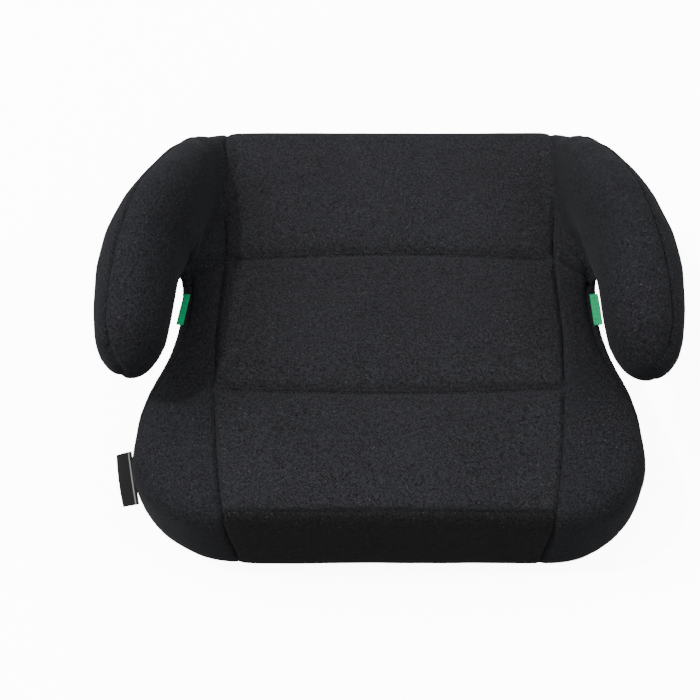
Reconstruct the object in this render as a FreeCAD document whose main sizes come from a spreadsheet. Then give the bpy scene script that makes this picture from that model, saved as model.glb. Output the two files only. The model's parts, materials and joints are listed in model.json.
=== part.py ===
"""Backless car booster seat: blow-moulded shell, foam padding, sewn cover, belt marks and cover fixings.

Millimetres. +Z is up, the child faces -Y, and the origin is on the car seat under the middle of the booster.
"""

import FreeCAD, Part
import math
import os

import Sketcher

V = FreeCAD.Vector
PARTS_FOLDER = "parts"

# Driving dimensions. Each becomes a cell of the sheet, with this name as its alias.
DIMENSIONS = {
    # overall size of the dressed seat
    "half_width": 215.0,
    "half_depth": 170.0,
    "full_height": 210.0,
    # plan outline of the seat, at the outside of the cover
    "nose_half_width": 190.5,
    "waist_half_width": 161.0,
    "nose_corner_radius": 62.5,
    "flank_radius": 140.0,
    "back_corner_radius": 35.0,
    # heights
    "cover_low": 3.5,
    "seat_top": 108.0,
    "top_edge_radius": 20.0,
    "foot_edge_radius": 26.0,
    "hem_high": 8.0,
    "side_band_high": 103.5,
    "arm_band_low": 90.0,
    # layers
    "cover_thick": 2.5,
    "foam_side_thick": 6.0,
    "foam_top_thick": 10.0,
    "foam_low": 16.0,
    "wall": 1.3,
    # seams of the cover
    "centre_half_back": 130.0,
    "centre_half_nose": 120.0,
    "nose_seam_y": -161.0,
    "front_channel_y": -62.5,
    "rear_channel_y": 54.0,
    "back_seam_y": 160.0,
    "arm_seam_x": 119.0,
    "arm_seam_y": -15.0,
    "arm_seam_reach": 88.0,
    "arm_seam_length": 170.0,
    "side_band_front_y": -100.0,
    "side_band_back_y": 28.0,
    "side_band_x": 140.0,
    # underside
    "hem_reach": 32.0,
    "elastic_width": 4.0,
    "elastic_low": 3.2,
    "foot_inset": 42.0,
    "pocket_length": 58.0,
    "pocket_depth": 82.0,
    "pocket_radius": 14.0,
    "pocket_pitch_x": 84.0,
    "pocket_front_y": -78.0,
    "pocket_back_y": 66.0,
    "label_length": 92.0,
    "label_width": 40.0,
    "label_y": -6.0,
    "label_recess": 0.8,
    "label_thick": 0.4,
    # hooks that hold the cover, their straps and the recesses they sit in
    "bay_width": 21.0,
    "bay_length": 30.0,
    "bay_high": 10.0,
    "bay_inside": 9.0,
    "post_radius": 3.2,
    "post_low": 1.5,
    "hook_width": 18.0,
    "hook_low": 3.0,
    "hook_thick": 2.4,
    "strap_width": 12.0,
    # ribbon tabs
    "mark_length": 27.0,
    "mark_reach": 6.6,
    "mark_thick": 1.2,
    "mark_y": 5.5,
    "mark_turn": 4.9,
    "mark_hinge_x": 154.9,
    "mark_hinge_z": 104.8,
    "tag_length": 44.0,
    "tag_reach": 12.5,
    "tag_thick": 0.9,
    "tag_x": -190.4,
    "tag_y": -119.0,
    "tag_z": 70.0,
    "tag_turn": 11.0,
    "tab_gap": 0.4,
}

# Arm sections from the root in the seat's back corner to the tip: name, y, x, z, half width, half height, and
# how far a section moves forward for each millimetre that its layer lies under the cover.
ARM_SECTIONS = [
    ("root", 160.0, 143.5, 68.0, 13.0, 24.0, -1.0),
    ("tail", 145.0, 149.5, 82.0, 19.0, 42.0, 0.0),
    ("rise", 120.0, 156.5, 102.0, 26.0, 55.0, 0.0),
    ("crest", 92.0, 163.0, 126.0, 28.5, 58.0, 0.0),
    ("shoulder", 62.0, 173.0, 147.0, 30.0, 56.0, 0.0),
    ("elbow", 30.0, 181.0, 158.0, 31.0, 51.0, 0.0),
    ("rest", 0.0, 184.3, 169.3, 30.4, 40.5, 0.0),
    ("fore", -30.0, 185.5, 169.3, 29.2, 37.5, 0.0),
    ("nose", -55.0, 186.0, 166.0, 25.0, 32.0, 0.35),
    ("tip", -71.0, 187.0, 162.0, 17.0, 23.0, 0.8),
    ("cap", -77.0, 187.0, 161.0, 9.0, 12.0, 1.0),
]
CAP_SHRINK = 0.7  # the cap's radii shrink by this share of the layer's depth

# Where the cover's hooks sit: name, post x, post y, the way to the hem in degrees from +X, the strap's reach.
HOOKS = [
    ("front_left", -42.0, -109.0, -90.0, 25.0),
    ("front_right", 42.0, -109.0, -90.0, 25.0),
    ("back_left", -42.0, 109.0, 90.0, 25.0),
    ("back_right", 42.0, 109.0, 90.0, 25.0),
    ("side_left", -102.0, -6.0, 180.0, 23.4),
    ("side_right", 102.0, -6.0, 0.0, 23.4),
]


def make_sheet(doc):
    """Write the driving dimensions into a spreadsheet, one aliased cell each."""
    sheet = doc.addObject("Spreadsheet::Sheet", "dims")
    rows = dict(DIMENSIONS)
    for name, y, x, z, half_width, half_height, shift in ARM_SECTIONS:
        rows.update({
            f"arm_{name}_y": y,
            f"arm_{name}_x": x,
            f"arm_{name}_z": z,
            f"arm_{name}_wide": half_width,
            f"arm_{name}_high": half_height,
            f"arm_{name}_shift": shift,
        })
    for row, (alias, value) in enumerate(rows.items(), start=1):
        sheet.set(f"A{row}", alias)
        sheet.set(f"B{row}", str(value))
        sheet.setAlias(f"B{row}", alias)
    doc.recompute()
    return sheet


def bind(item, **sizes):
    """Bind properties to sheet expressions. A double underscore stands for a dot in a property path."""
    for path, expression in sizes.items():
        item.setExpression(path.replace("__", "."), expression)
    return item


def arc(x, y, radius, start, end):
    """An arc of a circle in the sketch plane, angles in degrees."""
    circle = Part.Circle(V(x, y, 0), V(0, 0, 1), radius)
    return Part.ArcOfCircle(circle, math.radians(start), math.radians(end))


def line(x1, y1, x2, y2):
    """A straight line in the sketch plane."""
    return Part.LineSegment(V(x1, y1, 0), V(x2, y2, 0))


def join_tangent(sketch, first, second):
    """Join two curves of a sketch smoothly at the ends that meet."""
    ends = [(a, b) for a in (1, 2) for b in (1, 2)]
    a, b = min(ends, key=lambda e: (sketch.getPoint(first, e[0]) - sketch.getPoint(second, e[1])).Length)
    sketch.addConstraint(Sketcher.Constraint("Tangent", first, a, second, b))


def plan_outline(doc, sheet):
    """The seat seen from above: wide nose, narrow waist under the arms, straight back. Fully constrained."""
    nose, waist = sheet.nose_half_width, sheet.waist_half_width
    corner, flank, back = sheet.nose_corner_radius, sheet.flank_radius, sheet.back_corner_radius
    depth = sheet.half_depth
    turn = math.acos(1 - (nose - waist) / (2 * flank))
    sweep = math.degrees(turn)
    nose_x, nose_y = nose - corner, corner - depth
    hip_x, waist_x = nose - flank, waist + flank
    waist_y = nose_y + 2 * flank * math.sin(turn)
    back_x, back_y = waist - back, depth - back
    sketch = doc.addObject("Sketcher::SketchObject", "plan_outline")
    curves = [
        line(-nose_x, -depth, nose_x, -depth),
        arc(nose_x, nose_y, corner, -90, 0),
        arc(hip_x, nose_y, flank, 0, sweep),
        arc(waist_x, waist_y, flank, 180, 180 + sweep),
        line(waist, waist_y, waist, back_y),
        arc(back_x, back_y, back, 0, 90),
        line(back_x, depth, -back_x, depth),
        arc(-back_x, back_y, back, 90, 180),
        line(-waist, back_y, -waist, waist_y),
        arc(-waist_x, waist_y, flank, -sweep, 0),
        arc(-hip_x, nose_y, flank, 180 - sweep, 180),
        arc(-nose_x, nose_y, corner, 180, 270),
    ]
    for curve in curves:
        sketch.addGeometry(curve, False)
    for first in range(len(curves)):
        join_tangent(sketch, first, (first + 1) % len(curves))
    for straight in (0, 6):
        sketch.addConstraint(Sketcher.Constraint("Horizontal", straight))
    for straight in (4, 8):
        sketch.addConstraint(Sketcher.Constraint("Vertical", straight))
    for corner_arc, hip_arc in ((1, 2), (11, 10)):
        sketch.addConstraint(Sketcher.Constraint("Horizontal", corner_arc, 3, hip_arc, 3))
    sized = [
        (Sketcher.Constraint("Radius", 1, corner), "nose_corner_radius"),
        (Sketcher.Constraint("Radius", 11, corner), "nose_corner_radius"),
        (Sketcher.Constraint("Radius", 2, flank), "flank_radius"),
        (Sketcher.Constraint("Radius", 10, flank), "flank_radius"),
        (Sketcher.Constraint("Radius", 3, flank), "flank_radius"),
        (Sketcher.Constraint("Radius", 9, flank), "flank_radius"),
        (Sketcher.Constraint("Radius", 5, back), "back_corner_radius"),
        (Sketcher.Constraint("Radius", 7, back), "back_corner_radius"),
        (Sketcher.Constraint("DistanceY", 0, 1, -1, 1, depth), "half_depth"),
        (Sketcher.Constraint("DistanceY", -1, 1, 6, 1, depth), "half_depth"),
        (Sketcher.Constraint("DistanceX", -1, 1, 4, 1, waist), "waist_half_width"),
        (Sketcher.Constraint("DistanceX", 8, 1, -1, 1, waist), "waist_half_width"),
        (Sketcher.Constraint("DistanceX", -1, 1, 1, 2, nose), "nose_half_width"),
        (Sketcher.Constraint("DistanceX", 11, 1, -1, 1, nose), "nose_half_width"),
    ]
    for constraint, alias in sized:
        index = sketch.addConstraint(constraint)
        sketch.setExpression(f"Constraints[{index}]", f"dims.{alias}")
    doc.recompute()
    return sketch


def slab(doc, outline, name, inset, low, high):
    """A straight-sided solid: the plan outline drawn in by inset, from height low to height high."""
    profile = outline
    if inset != "0":
        profile = doc.addObject("Part::Offset2D", name + "_outline")
        profile.Source = outline
        bind(profile, Value=f"-({inset})")
    solid = doc.addObject("Part::Extrusion", name + "_slab")
    solid.Base = profile
    solid.DirMode = "Custom"
    solid.Dir = V(0, 0, 1)
    solid.Solid = True
    bind(solid, LengthFwd=f"({high}) - ({low})", Placement__Base__z=low)
    doc.recompute()
    return solid


def round_rims(doc, solid, name, top_radius, foot_radius):
    """Round the top and bottom rims of a slab."""
    rounded = doc.addObject("Part::Fillet", name + "_rounded")
    rounded.Base = solid
    box = solid.Shape.BoundBox
    rims = []
    for index, edge in enumerate(solid.Shape.Edges, start=1):
        span = edge.BoundBox
        if span.ZMin > box.ZMax - 0.01:
            rims.append((index, top_radius, top_radius))
        elif span.ZMax < box.ZMin + 0.01:
            rims.append((index, foot_radius, foot_radius))
    rounded.Edges = rims
    doc.recompute()
    return rounded


def arm(doc, name, inset):
    """The right arm, a loft through its oval sections drawn in by inset, and the left arm as its mirror."""
    ovals = []
    for section in ARM_SECTIONS:
        key = f"dims.arm_{section[0]}_"
        shrink = f"({inset})" if section[0] != "cap" else f"({inset}) * {CAP_SHRINK}"
        oval = doc.addObject("Part::Ellipse", f"{name}_{section[0]}")
        oval.Placement = FreeCAD.Placement(V(), FreeCAD.Rotation(V(0, 0, 1), V(1, 0, 0), V(0, 1, 0), "ZXY"))
        oval.MajorRadius = section[5]
        oval.MinorRadius = section[4] - 12.0
        bind(
            oval,
            MajorRadius=f"{key}high - {shrink}",
            MinorRadius=f"{key}wide - {shrink}",
            Placement__Base__x=f"{key}x",
            Placement__Base__y=f"{key}y + {key}shift * ({inset})",
            Placement__Base__z=f"{key}z",
        )
        ovals.append(oval)
    right = doc.addObject("Part::Loft", name + "_right")
    right.Sections = ovals
    right.Solid = True
    right.Ruled = False
    left = doc.addObject("Part::Mirroring", name + "_left")
    left.Source = right
    left.Normal = V(1, 0, 0)
    doc.recompute()
    return right, left


def form(doc, outline, name, inset, low, high, top_radius, foot_radius):
    """One layer of the seat drawn in by inset: the block fused with its two arms, and the block alone."""
    block = round_rims(doc, slab(doc, outline, name, inset, low, high), name, top_radius, foot_radius)
    whole = doc.addObject("Part::MultiFuse", name)
    whole.Shapes = [block, *arm(doc, name + "_arm", inset)]
    doc.recompute()
    return whole, block


def cut(doc, name, base, tool):
    """base with tool taken away."""
    result = doc.addObject("Part::Cut", name)
    result.Base = base
    result.Tool = tool
    return result


def common(doc, name, base, tool):
    """What base and tool share."""
    result = doc.addObject("Part::Common", name)
    result.Base = base
    result.Tool = tool
    return result


def fuse(doc, name, items):
    """Several solids as one."""
    result = doc.addObject("Part::MultiFuse", name)
    result.Shapes = items
    return result


def box(doc, name, x, y, z, length, width, height):
    """A box from its low corner and its sizes, each a sheet expression."""
    solid = doc.addObject("Part::Box", name)
    return bind(
        solid,
        Placement__Base__x=x,
        Placement__Base__y=y,
        Placement__Base__z=z,
        Length=length,
        Width=width,
        Height=height,
    )


def depth_box(doc, name, front, back, low="0", high="dims.full_height"):
    """A box over the whole width, between two depths and two heights, used to part the cover."""
    return box(
        doc, name, "-dims.half_width - 20", front, low,
        "2 * dims.half_width + 40", f"({back}) - ({front})", f"({high}) + 20 - ({low})",
    )


def side_box(doc, name, side):
    """A box over one half of the seat: side is -1 for the left and 1 for the right."""
    start = "0" if side > 0 else "-dims.half_width - 20"
    return box(
        doc, name, start, "-dims.half_depth - 5", "0",
        "dims.half_width + 20", "2 * dims.half_depth + 10", "dims.full_height + 20",
    )


def centre_strip(doc, sheet):
    """The tapered strip between the two long seams of the seat, as a tall solid."""
    back, nose = sheet.centre_half_back, sheet.centre_half_nose
    depth, channel = sheet.half_depth + 1, sheet.front_channel_y
    points = [(back, depth), (-back, depth), (-back, channel)]
    points += [(-nose, -depth), (nose, -depth), (back, channel)]
    sketch = doc.addObject("Sketcher::SketchObject", "centre_strip_outline")
    count = len(points)
    for index in range(count):
        sketch.addGeometry(line(*points[index], *points[(index + 1) % count]), False)
    for index in range(count):
        sketch.addConstraint(Sketcher.Constraint("Coincident", index, 2, (index + 1) % count, 1))
    for index, (x, y) in enumerate(points):
        half = "centre_half_nose" if abs(x) == nose else "centre_half_back"
        along = "dims.front_channel_y" if y == channel else f"{'-' if y < 0 else ''}(dims.half_depth + 1)"
        across = sketch.addConstraint(Sketcher.Constraint("DistanceX", -1, 1, index, 1, x))
        sketch.setExpression(f"Constraints[{across}]", f"{'-' if x < 0 else ''}dims.{half}")
        down = sketch.addConstraint(Sketcher.Constraint("DistanceY", -1, 1, index, 1, y))
        sketch.setExpression(f"Constraints[{down}]", along)
    strip = doc.addObject("Part::Extrusion", "centre_strip")
    strip.Base = sketch
    strip.DirMode = "Custom"
    strip.Dir = V(0, 0, 1)
    strip.Solid = True
    bind(strip, LengthFwd="dims.full_height")
    doc.recompute()
    return strip


def arm_seam_tool(doc, side):
    """A tall oval column: the arm's band is the cover that lies outside it."""
    name = "right" if side > 0 else "left"
    oval = doc.addObject("Part::Ellipse", f"arm_seam_{name}")
    turned = FreeCAD.Rotation(V(0, 0, 1), 90)
    oval.Placement = FreeCAD.Placement(V(), turned)
    oval.MajorRadius = 200
    bind(
        oval,
        MajorRadius="dims.arm_seam_length",
        MinorRadius="dims.arm_seam_reach",
        Placement__Base__x=f"{side} * dims.arm_seam_x",
        Placement__Base__y="dims.arm_seam_y",
    )
    column = doc.addObject("Part::Extrusion", f"arm_seam_column_{name}")
    column.Base = oval
    column.DirMode = "Custom"
    column.Dir = V(0, 0, 1)
    column.Solid = True
    bind(column, LengthFwd="dims.full_height + 20")
    return column


def cover_panels(doc, outline, cover, foam, strip):
    """The sewn cover, parted at its seams: seat panels, aprons, side panels, bands and the hem."""
    opening = slab(doc, outline, "cover_opening", "dims.hem_reach", "0", "dims.cover_low + dims.cover_thick")
    skin = cut(doc, "cover_skin", cut(doc, "cover_layer", cover[0], foam[0]), opening)
    seat_skin = cut(doc, "seat_skin", cut(doc, "seat_layer", cover[1], foam[1]), opening)
    above = depth_box(doc, "above_hem", "-dims.half_depth - 5", "dims.half_depth + 5", "dims.hem_high")
    sewn = common(doc, "sewn_cover", skin, above)
    nodes = {"underside_hem": cut(doc, "underside_hem", skin, above)}
    middle = common(doc, "centre_cover", common(doc, "sewn_seat", seat_skin, above), strip)
    rows = [
        ("front_seat_panel", "dims.nose_seam_y", "dims.front_channel_y"),
        ("middle_seat_panel", "dims.front_channel_y", "dims.rear_channel_y"),
        ("rear_seat_panel", "dims.rear_channel_y", "dims.back_seam_y"),
    ]
    for name, front, back in rows:
        span = depth_box(doc, name + "_span", front, back, "dims.seat_top / 2")
        nodes[name] = common(doc, name, middle, span)
    aprons = [
        ("front_apron", "-dims.half_depth - 5", "0", "dims.nose_seam_y", "0"),
        ("back_apron", "0", "dims.half_depth + 5", "0", "dims.back_seam_y"),
    ]
    for name, front, back, seam_front, seam_back in aprons:
        half = common(doc, name + "_half", middle, depth_box(doc, name + "_span", front, back))
        top = depth_box(doc, name + "_top", seam_front, seam_back, "dims.seat_top / 2")
        nodes[name] = cut(doc, name, half, top)
    flanks = cut(doc, "flank_cover", sewn, strip)
    for side, word in ((-1, "left"), (1, "right")):
        flank = common(doc, f"{word}_flank_cover", flanks, side_box(doc, f"{word}_half", side))
        arm_zone = box(
            doc, f"{word}_arm_zone", "dims.side_band_x" if side > 0 else "-dims.half_width - 20",
            "dims.arm_cap_y - 3", "dims.arm_band_low",
            "dims.half_width + 20 - dims.side_band_x", "dims.half_depth - dims.arm_cap_y", "dims.full_height",
        )
        outer = cut(doc, f"{word}_outer_zone", arm_zone, arm_seam_tool(doc, side))
        waist_zone = box(
            doc, f"{word}_waist_zone", "dims.side_band_x" if side > 0 else "-dims.half_width - 20",
            "dims.side_band_front_y", "0",
            "dims.half_width + 20 - dims.side_band_x", "dims.side_band_back_y - dims.side_band_front_y",
            "dims.side_band_high",
        )
        nodes[f"{word}_arm_band"] = common(doc, f"{word}_arm_band", flank, outer)
        rest = cut(doc, f"{word}_flank_rest", flank, outer)
        nodes[f"{word}_side_band"] = common(doc, f"{word}_side_band", rest, waist_zone)
        nodes[f"{word}_side_panel"] = cut(doc, f"{word}_side_panel", rest, waist_zone)
    return nodes


def foam_pieces(doc, foam, shell, strip):
    """The foam between the cover and the shell: one piece for the seat and one for each side and arm."""
    zone = depth_box(doc, "foam_zone", "-dims.half_depth - 5", "dims.half_depth + 5", "dims.foam_low")
    layer = common(doc, "foam_layer", cut(doc, "foam_wrap", foam[0], shell[0]), zone)
    seat_layer = common(doc, "seat_foam_layer", cut(doc, "seat_foam_wrap", foam[1], shell[1]), zone)
    nodes = {"seat_foam": common(doc, "seat_foam", seat_layer, strip)}
    flanks = cut(doc, "flank_foam", layer, strip)
    for side, word in ((-1, "left"), (1, "right")):
        half = side_box(doc, f"{word}_foam_half", side)
        nodes[f"{word}_side_foam"] = common(doc, f"{word}_side_foam", flanks, half)
    return nodes


def hem_elastic(doc, outline):
    """The flat elastic in the inner edge of the hem, one closed ring."""
    outer = slab(doc, outline, "elastic_outside", "dims.hem_reach", "dims.elastic_low",
                 "dims.cover_low + dims.cover_thick")
    inner = slab(doc, outline, "elastic_inside", "dims.hem_reach + dims.elastic_width", "0", "dims.hem_high")
    return cut(doc, "hem_elastic", outer, inner)


def rounded_column(doc, name, x, y, grow, low, high):
    """A column with rounded corners, for a moulded pocket. grow widens it on every side."""
    block = box(
        doc, name + "_block",
        f"({x}) - dims.pocket_length / 2 - ({grow})", f"({y}) - dims.pocket_depth / 2 - ({grow})", low,
        f"dims.pocket_length + 2 * ({grow})", f"dims.pocket_depth + 2 * ({grow})", f"({high}) - ({low})",
    )
    doc.recompute()
    rounded = doc.addObject("Part::Fillet", name)
    rounded.Base = block
    radius = DIMENSIONS["pocket_radius"]
    tall = block.Shape.BoundBox.ZLength - 0.01
    rounded.Edges = [
        (index, radius, radius)
        for index, edge in enumerate(block.Shape.Edges, start=1)
        if edge.BoundBox.ZLength > tall
    ]
    return rounded


def hook_bay(doc, name, x, y, heading, grow, high):
    """The recess that a hook sits in, opening towards the hem. grow widens its closed sides."""
    bay = doc.addObject("Part::Box", name)
    bind(
        bay,
        Length=f"dims.bay_length + ({grow}) * 2",
        Width=f"dims.bay_width + 2 * ({grow})",
        Height=high,
    )
    turn = FreeCAD.Rotation(V(0, 0, 1), heading)
    sheet = doc.getObject("dims")
    corner = turn.multVec(V(-sheet.bay_inside - grow, -sheet.bay_width / 2 - grow, 0))
    bay.Placement = FreeCAD.Placement(V(x, y, 0) + corner, turn)
    return bay


def seat_shell(doc, outline, shell_form, void_form):
    """The blow-moulded shell: a hollow double wall with pockets pressed up from below, a raised foot,
    bays and posts for the cover's hooks, and a shallow recess for the label."""
    foot = slab(doc, outline, "shell_foot", "dims.foot_inset", "0",
                "dims.cover_low + dims.cover_thick + dims.wall")
    pockets, keep_outs = [], []
    pocket_top = "dims.seat_top - dims.cover_thick - dims.foam_top_thick - 2 * dims.wall"
    for column in (-1, 0, 1):
        for row in ("front", "back"):
            name = f"pocket_{row}_{column + 1}"
            place = (f"{column} * dims.pocket_pitch_x", f"dims.pocket_{row}_y")
            pockets.append(rounded_column(doc, name, *place, "0", "-1", pocket_top))
            keep_outs.append(
                rounded_column(doc, name + "_wall", *place, "dims.wall", "-1", "dims.seat_top"))
    posts = []
    wall = DIMENSIONS["wall"]
    for name, x, y, heading, _ in HOOKS:
        pockets.append(hook_bay(doc, f"bay_{name}", x, y, heading, 0.0, "dims.bay_high"))
        keep_outs.append(hook_bay(doc, f"bay_wall_{name}", x, y, heading, wall, "dims.bay_high + dims.wall"))
        post = doc.addObject("Part::Cylinder", f"post_{name}")
        bind(post, Radius="dims.post_radius", Height="dims.bay_high + dims.wall - dims.post_low",
             Placement__Base__z="dims.post_low")
        post.Placement.Base = V(x, y, 0)
        posts.append(post)
    recess = box(
        doc, "label_recess", "-dims.label_length / 2 - 1", "dims.label_y - dims.label_width / 2 - 1", "-1",
        "dims.label_length + 2", "dims.label_width + 2", "1 + dims.label_recess",
    )
    foot_void = slab(doc, outline, "foot_void", "dims.foot_inset + dims.wall", "dims.wall",
                     "dims.cover_low + dims.cover_thick + 2 * dims.wall")
    label_wall = box(
        doc, "label_recess_wall", "-dims.label_length / 2 - 1 - dims.wall",
        "dims.label_y - dims.label_width / 2 - 1 - dims.wall", "-1",
        "dims.label_length + 2 + 2 * dims.wall", "dims.label_width + 2 + 2 * dims.wall",
        "1 + dims.label_recess + dims.wall",
    )
    solid = fuse(doc, "shell_solid", [shell_form, foot])
    space = fuse(doc, "shell_space", [void_form, foot_void])
    hollow = cut(doc, "shell_hollow", space, fuse(doc, "shell_keep_outs", [*keep_outs, label_wall]))
    walls = cut(doc, "shell_walls", solid, hollow)
    pressed = cut(doc, "shell_pressed", walls, fuse(doc, "shell_pockets", [*pockets, recess]))
    return fuse(doc, "seat_shell", [pressed, *posts])


def new_body(doc, name):
    """A PartDesign body and its three origin planes by role."""
    body = doc.addObject("PartDesign::Body", name)
    planes = {feature.Role: feature for feature in body.Origin.OriginFeatures}
    return body, planes


def closed_sketch(body, plane, name, loops):
    """A sketch of closed straight-sided loops on one of the body's origin planes."""
    sketch = body.newObject("Sketcher::SketchObject", name)
    sketch.AttachmentSupport = [(plane, "")]
    sketch.MapMode = "FlatFace"
    for points in loops:
        start = sketch.GeometryCount
        count = len(points)
        for index in range(count):
            sketch.addGeometry(line(*points[index], *points[(index + 1) % count]), False)
        for index in range(count):
            following = start + (index + 1) % count
            sketch.addConstraint(Sketcher.Constraint("Coincident", start + index, 2, following, 1))
    return sketch


def cover_hook(doc, sheet, name, x, y, heading):
    """A flat moulded hook: an open claw round the shell's post and a slot for the elastic strap."""
    body, planes = new_body(doc, f"cover_hook_{name}")
    half = sheet.hook_width / 2
    grip = sheet.post_radius + 0.35
    claw = [
        (-7, -half + 3), (-4, -half), (14, -half), (14, half), (-4, half), (-7, half - 3),
        (-7, grip + 1.2), (grip * 0.7, grip + 1.2), (grip, grip * 0.6),
        (grip, -grip * 0.6), (grip * 0.7, -grip - 1.2), (-7, -grip - 1.2),
    ]
    slot = [(8.6, -6.6), (11.4, -6.6), (11.4, 6.6), (8.6, 6.6)]
    sketch = closed_sketch(body, planes["XY_Plane"], f"hook_outline_{name}", [claw, slot])
    pad = body.newObject("PartDesign::Pad", f"hook_plate_{name}")
    pad.Profile = sketch
    pad.setExpression("Length", "dims.hook_thick")
    doc.recompute()
    turn = FreeCAD.Rotation(V(0, 0, 1), heading)
    body.Placement = FreeCAD.Placement(V(x, y, sheet.hook_low), turn)
    return body


def hook_strap(doc, name, x, y, heading, reach):
    """The elastic strap: looped through the hook's slot, sewn to itself and to the hem's edge."""
    body, planes = new_body(doc, f"elastic_strap_{name}")
    outside = [(9.5, 1.7), (16, 1.7), (19, 3.3), (reach, 3.3), (reach, 5.3), (19, 5.3), (16, 6.7), (9.5, 6.7)]
    inside = [(10.6, 2.7), (16, 2.7), (18.2, 4.2), (16, 5.7), (10.6, 5.7)]
    sketch = closed_sketch(body, planes["XZ_Plane"], f"strap_loop_{name}", [outside, inside])
    pad = body.newObject("PartDesign::Pad", f"strap_web_{name}")
    pad.Profile = sketch
    pad.Midplane = True
    pad.setExpression("Length", "dims.strap_width")
    doc.recompute()
    body.Placement = FreeCAD.Placement(V(x, y, 0), FreeCAD.Rotation(V(0, 0, 1), heading))
    return body


def ribbon_tab(doc, name, length, reach, thick):
    """A folded ribbon, flat, with its sewn edge along its own Y axis and its free edge towards +X."""
    body, planes = new_body(doc, name)
    sketch = body.newObject("Sketcher::SketchObject", name + "_outline")
    sketch.AttachmentSupport = [(planes["XY_Plane"], "")]
    sketch.MapMode = "FlatFace"
    corners = [(0.4, -10), (10, -10), (10, 10), (0.4, 10)]
    for index in range(4):
        sketch.addGeometry(line(*corners[index], *corners[(index + 1) % 4]), False)
    for index in range(4):
        sketch.addConstraint(Sketcher.Constraint("Coincident", index, 2, (index + 1) % 4, 1))
    for level in (0, 2):
        sketch.addConstraint(Sketcher.Constraint("Horizontal", level))
    for upright in (1, 3):
        sketch.addConstraint(Sketcher.Constraint("Vertical", upright))
    sized = [
        (Sketcher.Constraint("DistanceX", -1, 1, 0, 1, 0.4), "dims.tab_gap"),
        (Sketcher.Constraint("DistanceX", -1, 1, 0, 2, 10), f"dims.{reach}"),
        (Sketcher.Constraint("DistanceY", 0, 1, -1, 1, 10), f"dims.{length} / 2"),
        (Sketcher.Constraint("DistanceY", -1, 1, 2, 1, 10), f"dims.{length} / 2"),
    ]
    for constraint, expression in sized:
        index = sketch.addConstraint(constraint)
        sketch.setExpression(f"Constraints[{index}]", expression)
    pad = body.newObject("PartDesign::Pad", name + "_cloth")
    pad.Profile = sketch
    pad.Midplane = True
    pad.setExpression("Length", f"dims.{thick}")
    doc.recompute()
    return body


def ribbon_tabs(doc, sheet):
    """The two belt marks at the waist and the plain side tag, each flat at its sewn edge."""
    nodes = {}
    for side, word in ((-1, "left"), (1, "right")):
        name = f"{word}_belt_mark"
        mark = ribbon_tab(doc, name, "mark_length", "mark_reach", "mark_thick")
        turn = FreeCAD.Rotation(V(0, 0, 1), sheet.mark_turn if side > 0 else 180 - sheet.mark_turn)
        place = V(side * sheet.mark_hinge_x, sheet.mark_y, sheet.mark_hinge_z)
        mark.Placement = FreeCAD.Placement(place, turn)
        nodes[name] = mark
    tag = ribbon_tab(doc, "side_tag", "tag_length", "tag_reach", "tag_thick")
    turn = FreeCAD.Rotation(V(0, 0, 1), 180 + sheet.tag_turn)
    tag.Placement = FreeCAD.Placement(V(sheet.tag_x, sheet.tag_y, sheet.tag_z), turn)
    nodes["side_tag"] = tag
    return nodes


def approval_label(doc):
    """The plain label in its recess under the shell, lying on the recess's ceiling."""
    return box(
        doc, "approval_label", "-dims.label_length / 2", "dims.label_y - dims.label_width / 2",
        "dims.label_recess - dims.label_thick", "dims.label_length", "dims.label_width", "dims.label_thick",
    )


def make_nodes(doc):
    """Build every piece of the seat and return them by node name."""
    sheet = make_sheet(doc)
    outline = plan_outline(doc, sheet)
    cover, side, top = sheet.cover_thick, sheet.foam_side_thick, sheet.foam_top_thick
    wall, rim, foot = sheet.wall, sheet.top_edge_radius, sheet.foot_edge_radius
    foam_low = "dims.cover_low + dims.cover_thick"
    shell_inset = "dims.cover_thick + dims.foam_side_thick"
    shell_high = "dims.seat_top - dims.cover_thick - dims.foam_top_thick"
    cover_forms = form(doc, outline, "cover_form", "0", "dims.cover_low", "dims.seat_top", rim, foot)
    foam_forms = form(doc, outline, "foam_form", "dims.cover_thick", foam_low,
                     "dims.seat_top - dims.cover_thick", rim - cover, foot - cover)
    shell_forms = form(doc, outline, "shell_form", shell_inset, foam_low, shell_high,
                      rim - cover - side, foot - cover - side)
    void_forms = form(doc, outline, "void_form", f"{shell_inset} + dims.wall", f"{foam_low} + dims.wall",
                     f"{shell_high} - dims.wall", rim - cover - side - wall, 1.0)
    strip = centre_strip(doc, sheet)
    nodes = cover_panels(doc, outline, cover_forms, foam_forms, strip)
    nodes.update(foam_pieces(doc, foam_forms, shell_forms, strip))
    nodes["hem_elastic"] = hem_elastic(doc, outline)
    nodes["seat_shell"] = seat_shell(doc, outline, shell_forms[0], void_forms[0])
    nodes["approval_label"] = approval_label(doc)
    for name, x, y, heading, reach in HOOKS:
        nodes[f"cover_hook_{name}"] = cover_hook(doc, sheet, name, x, y, heading)
        nodes[f"elastic_strap_{name}"] = hook_strap(doc, name, x, y, heading, reach)
    nodes.update(ribbon_tabs(doc, sheet))
    doc.recompute()
    return nodes


def check(doc, nodes):
    """Stop if any object failed to build, or a piece is missing, invalid or not solid."""
    for item in doc.Objects:
        if {"Invalid", "Error"} & set(item.State):
            raise RuntimeError(f"{item.Label} failed: {item.State}")
    for name, item in nodes.items():
        shape = item.Shape
        if shape.isNull() or not shape.isValid() or not shape.Solids:
            raise RuntimeError(f"{name} is not a valid solid")


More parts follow.
